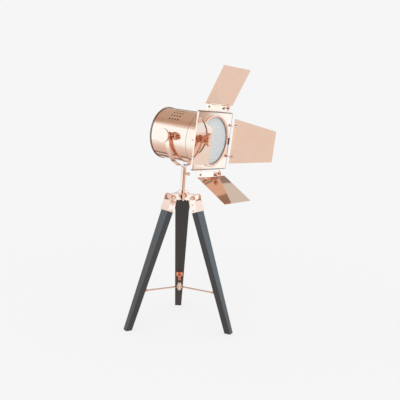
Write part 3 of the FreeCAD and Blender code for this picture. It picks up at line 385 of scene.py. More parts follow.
def copper_plate(name, gloss, ripple=0.012, rings=0.0, shade_bands=(), tones=(COPPER, COPPER_DEEP)):
    """Bright copper plate; rings are a turned piece's faint lathe lines round its x axis, and the next
    argument lists stretches along x, in millimetres, that are painted brown as shade."""
    material, add = node_material(name)
    place = add("TexCoord").outputs["Object"]
    haze = noise(add, place, 34.0, 3.0)
    film = add("MapRange", {"Value": haze, "From Min": 0.38, "From Max": 0.78, "To Max": 0.30})
    tone = between(add, film.outputs["Result"], *tones)
    along = add("SeparateXYZ", {"Vector": place}).outputs["X"]
    for start, end in shade_bands:
        middle, half = (start + end) / 2 * MM, (end - start) / 2 * MM
        band = add("Math", {0: along, 1: middle, 2: half}, operation="COMPARE").outputs[0]
        tone = between(add, band, tone, SHADE_BROWN)
    wipe = noise(add, place, 150.0, 4.0)
    rough = add("MapRange", {"Value": wipe, "To Min": gloss * 0.75, "To Max": gloss * 1.3}).outputs["Result"]
    height = noise(add, place, 620.0, 2.0)
    if rings:
        lines = add("TexWave", {"Vector": place, "Scale": 900.0, "Distortion": 1.2, "Detail": 2.0},
                    bands_direction="X").outputs["Fac"]
        cut = add("Math", {0: lines, 1: rings}, operation="MULTIPLY").outputs[0]
        height = add("Math", {0: height, 1: cut}, operation="ADD").outputs[0]
    plate = add("BsdfPrincipled", {"Base Color": tone, "Metallic": 1.0, "Roughness": rough,
                                   "Normal": bumped(add, height, ripple)})
    add("OutputMaterial", {"Surface": plate.outputs[0]})
    return material


def eased(node, width, material, segments=2):
    """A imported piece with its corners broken, its flats kept flat and its finish on."""
    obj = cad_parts[node]
    obj.data.polygons.foreach_set("use_smooth", [True] * len(obj.data.polygons))
    joined = obj.modifiers.new("joined", "WELD")
    joined.merge_threshold = MM / 500
    flats = obj.modifiers.new("flats", "DECIMATE")
    flats.decimate_type = "DISSOLVE"
    flats.angle_limit = FLAT_FACE
    broken = obj.modifiers.new("broken_edges", "BEVEL")
    broken.width = width * MM
    broken.segments = segments
    broken.angle_limit = SHARP_CORNER
    obj.modifiers.new("even_normals", "WEIGHTED_NORMAL")
    obj.data.materials.clear()
    obj.data.materials.append(material)
    return obj


sheet_copper = copper_plate("copper_sheet", 0.10)
for leg in LEG_TURNS:
    eased("leg_sleeve_" + leg, SHEET_EDGE, sheet_copper)

# Sleeve screws -----------------------------------------------------------------------
# Slotted round-head wood screws, two through each cheek of a sleeve. They are headed from
# wire and plated like the sleeves.
SLEEVE_SHEET = 1.5
SLEEVE_SCREW_RADIUS = 2.4
SLEEVE_SCREW_RISE = 1.0
SLEEVE_SCREW_HEIGHTS = (318.0, 333.0)
SLOT_WIDTH = 0.3
SLOT_DEPTH = 0.45


def rounded(corners, steps=3):
    """Outline whose corners (x, radius, rounding) are turned into short arcs."""
    outline = []
    for here, (x, y, *size) in enumerate(corners):
        corner = Vector((x, y))
        if not size:
            outline.append(corner)
            continue
        back = Vector(corners[here - 1][:2]) - corner
        ahead = Vector(corners[(here + 1) % len(corners)][:2]) - corner
        start = corner + back.normalized() * min(size[0], back.length / 2)
        end = corner + ahead.normalized() * min(size[0], ahead.length / 2)
        for step in range(steps + 1):
            t = step / steps
            outline.append(start * (1 - t) ** 2 + corner * 2 * t * (1 - t) + end * t ** 2)
    return outline


def turned(outline, around=72, flats=0.0):
    """Solid of revolution about x, in millimetres; flats holds it inside a hexagon."""
    bm = bmesh.new()
    rows = []
    for x, radius in outline:
        if radius < MM:
            rows.append([bm.verts.new((x * MM, 0, 0))])
            continue
        row = []
        for k in range(around):
            turn = 2 * math.pi * k / around
            reach = radius
            if flats:
                reach = min(radius, flats / 2 / math.cos(turn % (math.pi / 3) - math.pi / 6))
            row.append(bm.verts.new((x * MM, reach * math.cos(turn) * MM, reach * math.sin(turn) * MM)))
        rows.append(row)
    for row, after in zip(rows, rows[1:] + rows[:1]):
        if len(row) == len(after) == 1:
            continue
        for k in range(around):
            n = (k + 1) % around
            corners = [row[k % len(row)], row[n % len(row)], after[n % len(after)], after[k % len(after)]]
            bm.faces.new(dict.fromkeys(corners))
    return bm


def carved(obj, cutter):
    """Take one mesh out of another for good."""
    tool = obj.modifiers.new("cut", "BOOLEAN")
    tool.operation = "DIFFERENCE"
    tool.solver = "EXACT"
    tool.object = cutter
    bpy.context.view_layer.update()
    seen_now = obj.evaluated_get(bpy.context.evaluated_depsgraph_get())
    cut_mesh = bpy.data.meshes.new_from_object(seen_now)
    obj.modifiers.clear()
    obj.data = cut_mesh
    bpy.data.objects.remove(cutter)
    return obj


def slotted_head(radius, rise, slot_width=SLOT_WIDTH, slot_depth=SLOT_DEPTH):
    """Mesh of a round screw head along x, standing on x = 0, with a driver slot."""
    head = from_bmesh("head", turned(rounded([(-0.05, 0), (-0.05, radius), (rise * 0.25, radius, rise * 0.2),
                                              (rise, radius * 0.55, radius * 0.4), (rise, 0)], 4), 40))
    bm = bmesh.new()
    bmesh.ops.create_cube(bm, size=1.0, matrix=Matrix.Translation(((rise + slot_depth) * MM, 0, 0))
                          @ Matrix.Diagonal((4 * slot_depth * MM, 3 * radius * MM, 2 * slot_width * MM, 1)))
    carved(head, from_bmesh("slot", bm))
    mesh = head.data
    bpy.data.objects.remove(head)
    return mesh


def scattered(name, parts):
    """One mesh from copies of others: pairs of (mesh, place)."""
    bm = bmesh.new()
    for mesh, place in parts:
        piece = mesh.copy()
        piece.transform(place)
        bm.from_mesh(piece)
        bpy.data.meshes.remove(piece)
    obj = from_bmesh(name, bm)
    return smooth(obj)


def set_on(point, outward, turn=0.0):
    """Place whose x axis points outward from a point in millimetres."""
    aim = Vector(outward).to_track_quat("X", "Z").to_matrix().to_4x4()
    return Matrix.Translation(Vector(point) * MM) @ aim @ Matrix.Rotation(turn, 4, "X")


fastener_copper = copper_plate("copper_fastener", 0.14, 0.02)
sleeve_head = slotted_head(SLEEVE_SCREW_RADIUS, SLEEVE_SCREW_RISE)
heads = []
for leg in LEG_TURNS:
    for number, up in enumerate(SLEEVE_SCREW_HEIGHTS):
        slope = half_width(up + 0.5) - half_width(up - 0.5)
        for side in (-1, 1):
            seat = (0, side * (half_width(up) + SLEEVE_SHEET * math.hypot(1, slope)), up)
            spin = 0.7 + 1.9 * number + 0.8 * side + LEG_TURNS[leg]
            heads.append((sleeve_head, leg_place(leg) @ set_on(seat, (0, side, -slope), spin)))
fitted(scattered("sleeve_screws", heads), "tripod", "copper_plate", fastener_copper)

# Hub ---------------------------------------------------------------------------------
# One casting: a round body and collar bored for the pole, with three square arms that go
# between the sleeves' ears. It is fettled, polished and plated.
CAST_EDGE = 0.8
HUB_BODY_RADIUS = 20.5
HUB_BODY_BOTTOM, HUB_BODY_TOP = 326.4, 339.8
cast_copper = copper_plate("copper_casting", 0.10, 0.03)
eased("hub", CAST_EDGE, cast_copper, 3)
hub_body = rounded([(HUB_BODY_BOTTOM, 0), (HUB_BODY_BOTTOM, HUB_BODY_RADIUS, 1.0),
                    (HUB_BODY_TOP, HUB_BODY_RADIUS, 1.0), (HUB_BODY_TOP, 0)], 4)
upright = set_on((0, 0, 0), (0, 0, 1))
hub_middle = smooth(from_bmesh("hub_body", turned(hub_body, 120), upright))
fitted(hub_middle, "tripod", "copper_plate", cast_copper)

# Leg bolts and acorn nuts ------------------------------------------------------------
# A round-head bolt runs through each sleeve and hub arm and takes an acorn nut, with the
# head on the other cheek. All are bright turned and plated.
BOLT_REACH, BOLT_HEIGHT = 36.5, 332.5
BOLT_RADIUS = 3.0
BOLT_HEAD_RADIUS, BOLT_HEAD_RISE, BOLT_HEAD_EDGE, BOLT_CROWN_RADIUS = 4.6, 3.2, 0.9, 2.9
CHEEK = LEG_TOP_WIDTH / 2 + SLEEVE_SHEET
NUT_FLATS, NUT_HEX_RISE, NUT_DOME_RISE, NUT_BORE = 10.0, 5.0, 4.7, 3.05
NUT_SIDES = {"front": -1, "right": 1, "left": 1}


def domed_nut(flats, hex_rise, dome_rise, bore, depth):
    """Hexagon with its corners turned off, and a round blind dome on top, along x."""
    tip, half = flats / math.sqrt(3), flats / 2
    dome = [(hex_rise + dome_rise * math.sin(a), half * 0.94 * math.cos(a))
            for a in [math.pi / 2 * k / 9 for k in range(10)]]
    hexagon = [(0.0, half * 1.02), (0.0, half * 1.05), (0.35, tip), (hex_rise - 0.45, tip),
               (hex_rise, half * 1.04)]
    return turned([(depth, 0), (depth, bore), (0.0, bore)] + hexagon + dome, 72, flats)


bolt_end = 2 * CHEEK + NUT_HEX_RISE
bolt = rounded([(-BOLT_HEAD_RISE, 0), (-BOLT_HEAD_RISE, BOLT_CROWN_RADIUS, 1.9),
                (-BOLT_HEAD_EDGE, BOLT_HEAD_RADIUS, 0.7), (0, BOLT_HEAD_RADIUS, 0.15), (0, BOLT_RADIUS),
                (bolt_end, BOLT_RADIUS), (bolt_end, 0)], 4)
bolt_mesh = mesh_of("leg_bolt", turned(bolt))
nut_bm = domed_nut(NUT_FLATS, NUT_HEX_RISE, NUT_DOME_RISE, NUT_BORE, NUT_HEX_RISE + 0.1)
nut_mesh = mesh_of("acorn_nut", nut_bm)
bolts, nuts = [], []
for leg, side in NUT_SIDES.items():
    round_pole = Matrix.Rotation(LEG_TURNS[leg], 4, "Z")
    bolts.append((bolt_mesh, round_pole @ set_on((BOLT_REACH, -side * CHEEK, BOLT_HEIGHT), (0, side, 0))))
    nuts.append((nut_mesh, round_pole @ set_on((BOLT_REACH, side * CHEEK, BOLT_HEIGHT), (0, side, 0), 0.3)))
fitted(scattered("cross_bolts", bolts), "tripod", "copper_plate", fastener_copper, "leg_bolts")
fitted(scattered("domed_nuts", nuts), "tripod", "copper_plate", fastener_copper, "acorn_nuts")

# Pole and set screw ------------------------------------------------------------------
# Drawn tube pressed into the hub, with its top edge rounded. A ball-ended screw near the
# top bears on the swivel spigot and is turned by hand.
POLE_RADIUS, POLE_WALL = 6.75, 1.5
POLE_BOTTOM, POLE_TOP = 328.0, 405.2
SET_SCREW_WAY = math.radians(-52.0)
SET_SCREW_HEIGHT, SET_SCREW_START, SET_SCREW_REACH = 390.0, 5.25, 12.0
SET_SCREW_RADIUS, SET_SCREW_BALL = 2.0, 4.3
THREAD_STEP, THREAD_DEPTH, THREAD_POINTS = 0.25, 0.18, 10
tube_copper = copper_plate("copper_tube", 0.09, 0.01, 0.25)
pole_bore = POLE_RADIUS - POLE_WALL
pole_bm = turned(rounded([(POLE_BOTTOM, POLE_RADIUS), (POLE_TOP, POLE_RADIUS, 0.5),
                          (POLE_TOP, pole_bore, 0.4), (POLE_BOTTOM, pole_bore)]), 96)
fitted(smooth(from_bmesh("drawn_pole", pole_bm, upright)), "tripod", "copper_plate", tube_copper, "pole")
ball_start = math.asin(SET_SCREW_RADIUS / SET_SCREW_BALL)
ball = [(SET_SCREW_REACH - SET_SCREW_BALL * math.cos(a), SET_SCREW_BALL * math.sin(a))
        for a in [ball_start + (math.pi - ball_start) * k / 20 for k in range(21)]]
thread = [(SET_SCREW_START + THREAD_STEP * k, SET_SCREW_RADIUS - THREAD_DEPTH * (k % 2))
          for k in range(THREAD_POINTS)]
screw_bm = turned([(SET_SCREW_START, 0)] + thread + ball, 48)
screw_place = set_on((0, 0, SET_SCREW_HEIGHT), (math.cos(SET_SCREW_WAY), math.sin(SET_SCREW_WAY), 0))
fitted(smooth(from_bmesh("ball_screw", screw_bm, screw_place)), "set_screw", "copper_plate", fastener_copper,
       "pole_set_screw")

# Brace -------------------------------------------------------------------------------
# Three flat straps let into a slotted boss, each screwed to an angle bracket on its leg.
# The boss is held by a bolt with a domed nut at each end.
BOSS_BOTTOM, BOSS_RISE, BOSS_BOLT_RADIUS = 91.5, 8.0, 2.4
DOME_FLATS, DOME_HEX_RISE, DOME_RISE, DOME_BORE_DEPTH = 9.4, 1.8, 4.7, 1.0
STRAP_HEIGHT, STRAP_SCREW_GRIP, STRAP_SCREW_REACH = 94.5, 3.5, 97.95
SMALL_SCREW_RADIUS, SMALL_HEAD_RADIUS, SMALL_HEAD_RISE = 1.5, 2.9, 1.6
SMALL_SLOT_WIDTH, SMALL_SLOT_DEPTH = 0.35, 0.7
WOOD_HEAD_RADIUS, WOOD_HEAD_RISE = 2.175, 0.96
SMALL_NUT_FLATS, SMALL_NUT_RADIUS, SMALL_NUT_END_RADIUS, SMALL_NUT_CHAMFER = 5.4, 3.1, 2.8, 0.25
BRACKET_SHEET, BRACKET_LIFT, WOOD_SCREW_RISE, WOOD_SCREW_OFF = 1.5, 2.0, 6.875, 4.25
RED_COPPER, RED_COPPER_DEEP = (0.78, 0.31, 0.18, 1), (0.68, 0.22, 0.12, 1)


def rod(name, radius, length, around):
    """Mesh of a plain round stem along x."""
    return mesh_of(name, turned([(0, 0), (0, radius), (length, radius), (length, 0)], around))


warm_copper = copper_plate("copper_brace", 0.16, 0.02)
red_copper = copper_plate("copper_bracket", 0.16, 0.02, tones=(RED_COPPER, RED_COPPER_DEEP))
for leg in LEG_TURNS:
    eased("brace_strap_" + leg, SHEET_EDGE, warm_copper)
    eased("brace_bracket_" + leg, SHEET_EDGE, red_copper)
eased("brace_hub", SHEET_EDGE, warm_copper)
cap_bm = domed_nut(DOME_FLATS, DOME_HEX_RISE, DOME_RISE, BOSS_BOLT_RADIUS, DOME_BORE_DEPTH)
cap_mesh = mesh_of("cap_nut", cap_bm)
stem_mesh = rod("stem", BOSS_BOLT_RADIUS, BOSS_RISE, 32)
boss_bolt = [(stem_mesh, set_on((0, 0, BOSS_BOTTOM), (0, 0, 1))),
             (cap_mesh, set_on((0, 0, BOSS_BOTTOM + BOSS_RISE), (0, 0, 1))),
             (cap_mesh, set_on((0, 0, BOSS_BOTTOM), (0, 0, -1)))]
fitted(scattered("brace_cap_nuts", boss_bolt), "tripod", "copper_plate", fastener_copper, "brace_bolt")

small_head = slotted_head(SMALL_HEAD_RADIUS, SMALL_HEAD_RISE, SMALL_SLOT_WIDTH, SMALL_SLOT_DEPTH)
small_hexagon = [(0, 0), (0, SMALL_NUT_END_RADIUS), (SMALL_NUT_CHAMFER, SMALL_NUT_RADIUS),
                 (SMALL_HEAD_RISE - SMALL_NUT_CHAMFER, SMALL_NUT_RADIUS),
                 (SMALL_HEAD_RISE, SMALL_NUT_END_RADIUS), (SMALL_HEAD_RISE, 0)]
small_nut = mesh_of("small_nut", turned(small_hexagon, 48, SMALL_NUT_FLATS))
small_stem = rod("small_stem", SMALL_SCREW_RADIUS, STRAP_SCREW_GRIP, 24)
wood_head = slotted_head(WOOD_HEAD_RADIUS, WOOD_HEAD_RISE)
strap_screws, bracket_heads = [], []
for leg in LEG_TURNS:
    round_pole = Matrix.Rotation(LEG_TURNS[leg], 4, "Z")
    spot = (STRAP_SCREW_REACH, 0, STRAP_HEIGHT)
    over = (STRAP_SCREW_REACH, 0, STRAP_HEIGHT + STRAP_SCREW_GRIP)
    strap_screws += [(small_stem, round_pole @ set_on(spot, (0, 0, 1))),
                     (small_head, round_pole @ set_on(over, (0, 0, 1), 0.6)),
                     (small_nut, round_pole @ set_on(spot, (0, 0, -1)))]
    foot = (STRAP_HEIGHT + BRACKET_LIFT + LEG_HALF_THICKNESS * math.sin(LEAN)) / math.cos(LEAN)
    for side in (-1, 1):
        seat = (-LEG_HALF_THICKNESS - BRACKET_SHEET, side * WOOD_SCREW_OFF, foot + WOOD_SCREW_RISE)
        bracket_heads.append((wood_head, leg_place(leg) @ set_on(seat, (-1, 0, 0), side)))
fitted(scattered("strap_screws", strap_screws), "tripod", "copper_plate", fastener_copper, "bracket_screws")
fitted(scattered("bracket_wood_screws", bracket_heads), "tripod", "copper_plate", fastener_copper)

# Yoke and swivel ---------------------------------------------------------------------
# Flat bar bent hot into a U and plated. The spigot below it turns in the pole, and its
# stud comes up through the bend and takes a plain nut.
YOKE_EDGE = 0.6
PIVOT_HEIGHT, YOKE_INSIDE = 486.0, 69.2
STEEL, STEEL_DULL = (0.62, 0.62, 0.63, 1), (0.50, 0.50, 0.50, 1)


def shade_marked_plate(name, gloss, mark):
    """Bright plate with brown painted shade where the nodes that mark adds give 1."""
    material = copper_plate(name, gloss)
    add = node_maker(material.node_tree)
    base = material.node_tree.nodes["Principled BSDF"].inputs["Base Color"]
    material.node_tree.links.new(between(add, mark(add), base.links[0].from_socket, SHADE_BROWN), base)
    return material


def shade_inside_the_bend(add):
    """Painted shade on the inside of the bar, within its bend's distance of the pivot, facing the drum."""
    pivot = (0, 0, PIVOT_HEIGHT * MM)
    place = add("TexCoord").outputs["Object"]
    from_pivot = add("VectorMath", {0: place, 1: pivot}, operation="SUBTRACT").outputs[0]
    flat = add("VectorMath", {0: from_pivot, 1: (1, 0, 1)}, operation="MULTIPLY").outputs[0]
    reach = add("VectorMath", {0: flat}, operation="LENGTH").outputs["Value"]
    return add("Math", {0: reach, 1: YOKE_INSIDE * MM}, operation="LESS_THAN").outputs[0]


# The yoke's inside is painted brown as shade.
eased("yoke", YOKE_EDGE, shade_marked_plate("copper_bar", 0.10, shade_inside_the_bend), 3)
eased("swivel_spigot", SHEET_EDGE, tube_copper)
bright_steel = copper_plate("bright_steel", 0.22, 0.03, tones=(STEEL, STEEL_DULL))
eased("swivel_nut", SHEET_EDGE, bright_steel)

# Drum --------------------------------------------------------------------------------
# Sheet steel rolled to a tube, seamed, polished and plated outside and in. A patch of
# round vents is punched on each shoulder.
HEAD_TILT = math.radians(6.0)
HEAD = (Matrix.Translation((0, 0, PIVOT_HEIGHT * MM)) @ Matrix.Rotation(HEAD_TILT, 4, "X")
        @ Matrix.Rotation(math.radians(-90), 4, "Z"))
DRUM_RADIUS, DRUM_WALL = 64.5, 1.2
DRUM_REAR, DRUM_FRONT = -60.0, 79.0
VENT_RADIUS, VENT_COUNT = 2.1, 4
VENT_FIRST_X, VENT_STEP_X = -16.0, 8.6
VENT_FIRST_ANGLE, VENT_STEP_ANGLE = 21.0, 10.1
DRUM_SEGMENTS, VENT_SEGMENTS = 240, 28

drum_bm = turned([(DRUM_REAR, DRUM_RADIUS), (DRUM_FRONT, DRUM_RADIUS), (DRUM_FRONT, DRUM_RADIUS - DRUM_WALL),
                  (DRUM_REAR, DRUM_RADIUS - DRUM_WALL)], DRUM_SEGMENTS)
drum = from_bmesh("rolled_drum", drum_bm)
punches = bmesh.new()
for column in range(VENT_COUNT):
    for row in range(VENT_COUNT):
        for side in (-1, 1):
            turn = math.radians(90 + side * (VENT_FIRST_ANGLE + row * VENT_STEP_ANGLE))
            way = Vector((0, math.cos(turn), math.sin(turn)))
            middle = Vector((VENT_FIRST_X + column * VENT_STEP_X, 0, 0)) + way * (DRUM_RADIUS - DRUM_WALL / 2)
            aim = way.to_track_quat("Z", "X").to_matrix().to_4x4()
            bmesh.ops.create_cone(punches, cap_ends=True, segments=VENT_SEGMENTS, radius1=VENT_RADIUS * MM,
                                  radius2=VENT_RADIUS * MM, depth=4 * DRUM_WALL * MM,
                                  matrix=Matrix.Translation(middle * MM) @ aim)
carved(drum, from_bmesh("punches", punches))
skin = drum.data
skin.polygons.foreach_set("use_smooth", [True] * len(skin.polygons))
normals = []
for face in skin.polygons:
    middle = Vector((0, face.center.y, face.center.z)).normalized()
    facing = face.normal.dot(middle)
    for corner in face.vertices:
        spot = skin.vertices[corner].co
        radial = Vector((0, spot.y, spot.z)).normalized()
        normals.append(radial * math.copysign(1, facing) if abs(facing) > 0.99 else face.normal.copy())
skin.normals_split_custom_set(normals)
drum.matrix_world = HEAD
drum_copper = copper_plate("copper_drum", 0.07, 0.006)
fitted(drum, "head", "copper_plate", drum_copper, "drum_shell")


def head_piece(name, outline, material, *stands_for, around=192, slot="copper_plate", body="head",
               place=HEAD):
    """A turned piece about the drum's axis, fitted on the head unless body and place say else."""
    piece = smooth(from_bmesh(name, turned(outline, around), place))
    return fitted(piece, body, slot, material, *stands_for)


# Rear cover --------------------------------------------------------------------------
# Pressed from sheet and plated like the drum, with a raised dish in the middle. Its hem is
# rolled over the drum's end and holds it on.
COVER_SHEET, COVER_DEPTH, COVER_DISH = 1.5, 3.0, 50.0
COVER_HEM_WIDTH, COVER_HEM_RISE = 4.3, 1.6
COVER_BACK, COVER_RIM = DRUM_REAR - COVER_SHEET, DRUM_RADIUS + COVER_HEM_RISE
COVER_HEM_FRONT = COVER_BACK + COVER_HEM_WIDTH
SLIDE_ROOM = 0.05
NIPPLE_RADIUS = 5.0
cover_outside, cover_inside = COVER_BACK - COVER_DEPTH, COVER_BACK - COVER_DEPTH + COVER_SHEET
cover = rounded([(cover_inside, NIPPLE_RADIUS), (cover_inside, COVER_DISH - COVER_SHEET, 2.0),
                 (DRUM_REAR, COVER_DISH + COVER_SHEET, 2.0), (DRUM_REAR, DRUM_RADIUS + SLIDE_ROOM),
                 (COVER_HEM_FRONT, DRUM_RADIUS + SLIDE_ROOM, 0.2), (COVER_HEM_FRONT, COVER_RIM, 0.75),
                 (COVER_BACK, COVER_RIM, 1.5), (COVER_BACK, COVER_DISH + COVER_DEPTH, 2.2),
                 (cover_outside, COVER_DISH, 2.2), (cover_outside, NIPPLE_RADIUS, 0.3)], 5)
# Painted shade: the rolled hem's rim is painted brown as a dark line at the drum's rear edge.
hem_copper = copper_plate("copper_cover", 0.09, 0.006, shade_bands=[(COVER_BACK + 0.6, COVER_HEM_FRONT + 0.1)])
head_piece("pressed_cover", cover, hem_copper, "rear_cover")

# Cord entry, holder and bulb ---------------------------------------------------------
# A threaded nipple through the cover carries a ribbed gland outside and a moulded lamp
# holder inside, with a small round opal bulb screwed in.
HOLDER_LENGTH, HOLDER_RADIUS, HOLDER_WAIST, HOLDER_SLOPE = 36.0, 13.5, 10.1, 3.4
NIPPLE_BORE, NIPPLE_ROOT, NIPPLE_OUT, NIPPLE_IN = 3.4, 4.7, 12.0, 8.0
NIPPLE_STEP, NIPPLE_POINTS = 0.5, 42
GLAND_LENGTH, GLAND_TIP_RADIUS, GLAND_NECK_RADIUS = 13.0, 5.7, 7.2
GLAND_RADIUS, GLAND_FLANGE = 9.0, 5.5
RIB_RADIUS, RIB_RISE, RIB_GROWTH, RIB_STEP = 5.9, 0.4, 0.4, 2.0
CAP_RADIUS, CAP_LENGTH, CAP_END_RADIUS, CAP_THREAD = 7.0, 17.0, 4.0, 0.5
BULB_RADIUS, BULB_NECK_RADIUS, BULB_NECK_LENGTH = 22.5, 8.6, 6.0
MILK, MILK_PALE = (0.86, 0.85, 0.80, 1), (0.92, 0.91, 0.88, 1)


def moulded(name, colour, gloss):
    """Plastic with the fine grain of its mould."""
    material, add = node_material(name)
    place = add("TexCoord").outputs["Object"]
    grain = noise(add, place, 900.0, 3.0)
    rough = add("MapRange", {"Value": grain, "To Min": gloss * 0.8, "To Max": gloss * 1.2}).outputs["Result"]
    body = add("BsdfPrincipled", {"Base Color": colour, "Roughness": rough,
                                  "Normal": bumped(add, grain, 0.08)})
    add("OutputMaterial", {"Surface": body.outputs[0]})
    return material


holder_floor, holder_mouth = cover_inside + NIPPLE_IN, cover_inside + HOLDER_LENGTH
nipple_tip, nipple_hole = cover_outside - NIPPLE_OUT, NIPPLE_RADIUS + SLIDE_ROOM
nipple = [(nipple_tip, NIPPLE_BORE), (nipple_tip, NIPPLE_ROOT)]
nipple += [(nipple_tip + NIPPLE_STEP * (k + 1), NIPPLE_ROOT if k % 2 else NIPPLE_RADIUS)
           for k in range(NIPPLE_POINTS)]
nipple += [(holder_floor, NIPPLE_ROOT), (holder_floor, NIPPLE_BORE)]
head_piece("threaded_nipple", nipple, bright_steel, "holder_nipple", around=64, slot="bright_steel")
gland_tip = cover_outside - GLAND_LENGTH
gland = [(gland_tip, NIPPLE_BORE), (gland_tip, GLAND_TIP_RADIUS - 0.5),
         (gland_tip + 0.5, GLAND_TIP_RADIUS)]
for rib in range(3):
    start, valley = gland_tip + 1.0 + RIB_STEP * rib, RIB_RADIUS + RIB_GROWTH * rib
    gland += [(start, valley), (start + 0.2, valley + RIB_RISE), (start + 1.3, valley + RIB_RISE),
              (start + 1.5, valley)]
flange = cover_outside - GLAND_FLANGE
gland += rounded([(flange, GLAND_NECK_RADIUS), (flange, GLAND_RADIUS, 1.2),
                  (cover_outside, GLAND_RADIUS, 0.3), (cover_outside, nipple_hole),
                  (nipple_tip, nipple_hole), (nipple_tip, NIPPLE_BORE)])
head_piece("ribbed_gland", gland, moulded("black_moulding", (0.018, 0.018, 0.018, 1), 0.45), "cord_gland",
           around=72, slot="black_plastic")
cap_rear = holder_mouth - CAP_LENGTH
holder = rounded([(cover_inside, nipple_hole), (cover_inside, HOLDER_WAIST, 0.8),
                  (holder_floor, HOLDER_WAIST, 1.5), (holder_floor + HOLDER_SLOPE, HOLDER_RADIUS, 1.5),
                  (holder_mouth, HOLDER_RADIUS, 1.0), (holder_mouth, CAP_RADIUS + SLIDE_ROOM, 0.5),
                  (cap_rear, CAP_RADIUS + SLIDE_ROOM), (cap_rear, 0), (holder_floor, 0),
                  (holder_floor, nipple_hole)])
head_piece("bulb_holder", holder, moulded("black_holder", (0.02, 0.02, 0.02, 1), 0.22), "lamp_holder",
           around=96, slot="black_holder")
neck = holder_mouth + 0.3
bulb_mouth = neck + BULB_NECK_LENGTH
bulb_centre = bulb_mouth + math.sqrt(BULB_RADIUS ** 2 - BULB_NECK_RADIUS ** 2)
neck_angle = math.asin(BULB_NECK_RADIUS / BULB_RADIUS)
bulb = [(cap_rear, 0), (cap_rear, CAP_END_RADIUS)]
bulb += [(cap_rear + k, CAP_RADIUS - CAP_THREAD * (1 - k % 2)) for k in range(1, 17)]
bulb += [(neck, CAP_RADIUS), (neck, BULB_NECK_RADIUS - 0.8)]
bulb += [(bulb_centre - BULB_RADIUS * math.cos(a), BULB_RADIUS * math.sin(a))
         for a in [neck_angle + (math.pi - neck_angle) * k / 36 for k in range(37)]]
opal, add = node_material("opal_bulb")
place = add("TexCoord").outputs["Object"]
milk = between(add, noise(add, place, 60.0, 2.0), MILK, MILK_PALE)
shell = add("BsdfPrincipled", {"Base Color": milk, "Roughness": 0.18, "Subsurface Weight": 0.2,
                               "Subsurface Scale": 0.01})
add("OutputMaterial", {"Surface": shell.outputs[0]})
head_piece("round_bulb", bulb, opal, "bulb", around=96, slot="opal_glass")

# Front collar ------------------------------------------------------------------------
# A wider sleeve over the drum's mouth, turned in at both ends and pinned by a screw on
# each side.
COLLAR_RADIUS, COLLAR_WALL, COLLAR_LENGTH = 67.4, 1.4, 33.0
FRAME_FRONT, FRAME_SHEET = 87.5, 1.2
FRAME_BACK = FRAME_FRONT - FRAME_SHEET
COLLAR_REAR = FRAME_BACK - COLLAR_LENGTH
RING_TUBE = 61.4
COLLAR_SCREW_X, COLLAR_SCREW_RADIUS, COLLAR_SCREW_RISE = 73.7, 2.3, 1.1
collar_inside, collar_lip = COLLAR_RADIUS - COLLAR_WALL, COLLAR_REAR + COLLAR_WALL
collar = rounded([(COLLAR_REAR, DRUM_RADIUS + SLIDE_ROOM, 0.2), (collar_lip, DRUM_RADIUS + SLIDE_ROOM),
                  (collar_lip, collar_inside), (FRAME_BACK - COLLAR_WALL, collar_inside),
                  (FRAME_BACK - COLLAR_WALL, RING_TUBE + SLIDE_ROOM), (FRAME_BACK, RING_TUBE + SLIDE_ROOM),
                  (FRAME_BACK, COLLAR_RADIUS, 0.3), (COLLAR_REAR, COLLAR_RADIUS, 1.1)], 5)
# Painted shade: a brown band round the collar's rear lip, where it meets the drum.
turned_copper = copper_plate("copper_turned", 0.08, 0.008, 0.15, [(COLLAR_REAR - 0.1, COLLAR_REAR + 1.7)])
head_piece("turned_collar", collar, turned_copper, "front_collar")
collar_head = slotted_head(COLLAR_SCREW_RADIUS, COLLAR_SCREW_RISE)
pins = [(collar_head, HEAD @ set_on((COLLAR_SCREW_X, side * COLLAR_RADIUS, 0), (0, side, 0), 0.9 * side))
        for side in (-1, 1)]
fitted(scattered("collar_screws", pins), "head", "copper_plate", fastener_copper)

# Door frame --------------------------------------------------------------------------
# A square tray pressed from sheet with a flange turned back all round. Eight rounded
# lugs stand on the flange for the doors' pins.
# Half the tray's width, then how far inside the edge its line of painted shade runs and how wide it is.
FRAME_HALF, SHADE_LINE_INSET, SHADE_LINE_WIDTH = 71.25, 1.8, 2.2


def shade_along_the_bend(add):
    """Painted shade: a thin brown line along the tray's bend, just inside its edge."""
    place = add("TexCoord").outputs["Object"]
    from_axis = add("VectorMath", {0: place, 1: HEAD.translation}, operation="SUBTRACT").outputs[0]
    level = add("VectorRotate", {"Vector": from_axis, "Angle": -HEAD_TILT}, rotation_type="X_AXIS").outputs[0]
    off = add("VectorMath", {0: level}, operation="ABSOLUTE").outputs[0]
    parts = add("SeparateXYZ", {"Vector": off}).outputs
    reach = add("Math", {0: parts["X"], 1: parts["Z"]}, operation="MAXIMUM").outputs[0]
    return add("Math", {0: reach, 1: (FRAME_HALF - SHADE_LINE_INSET) * MM, 2: SHADE_LINE_WIDTH / 2 * MM},
               operation="COMPARE").outputs[0]


eased("door_frame", SHEET_EDGE, shade_marked_plate("copper_tray", 0.08, shade_along_the_bend), 3)

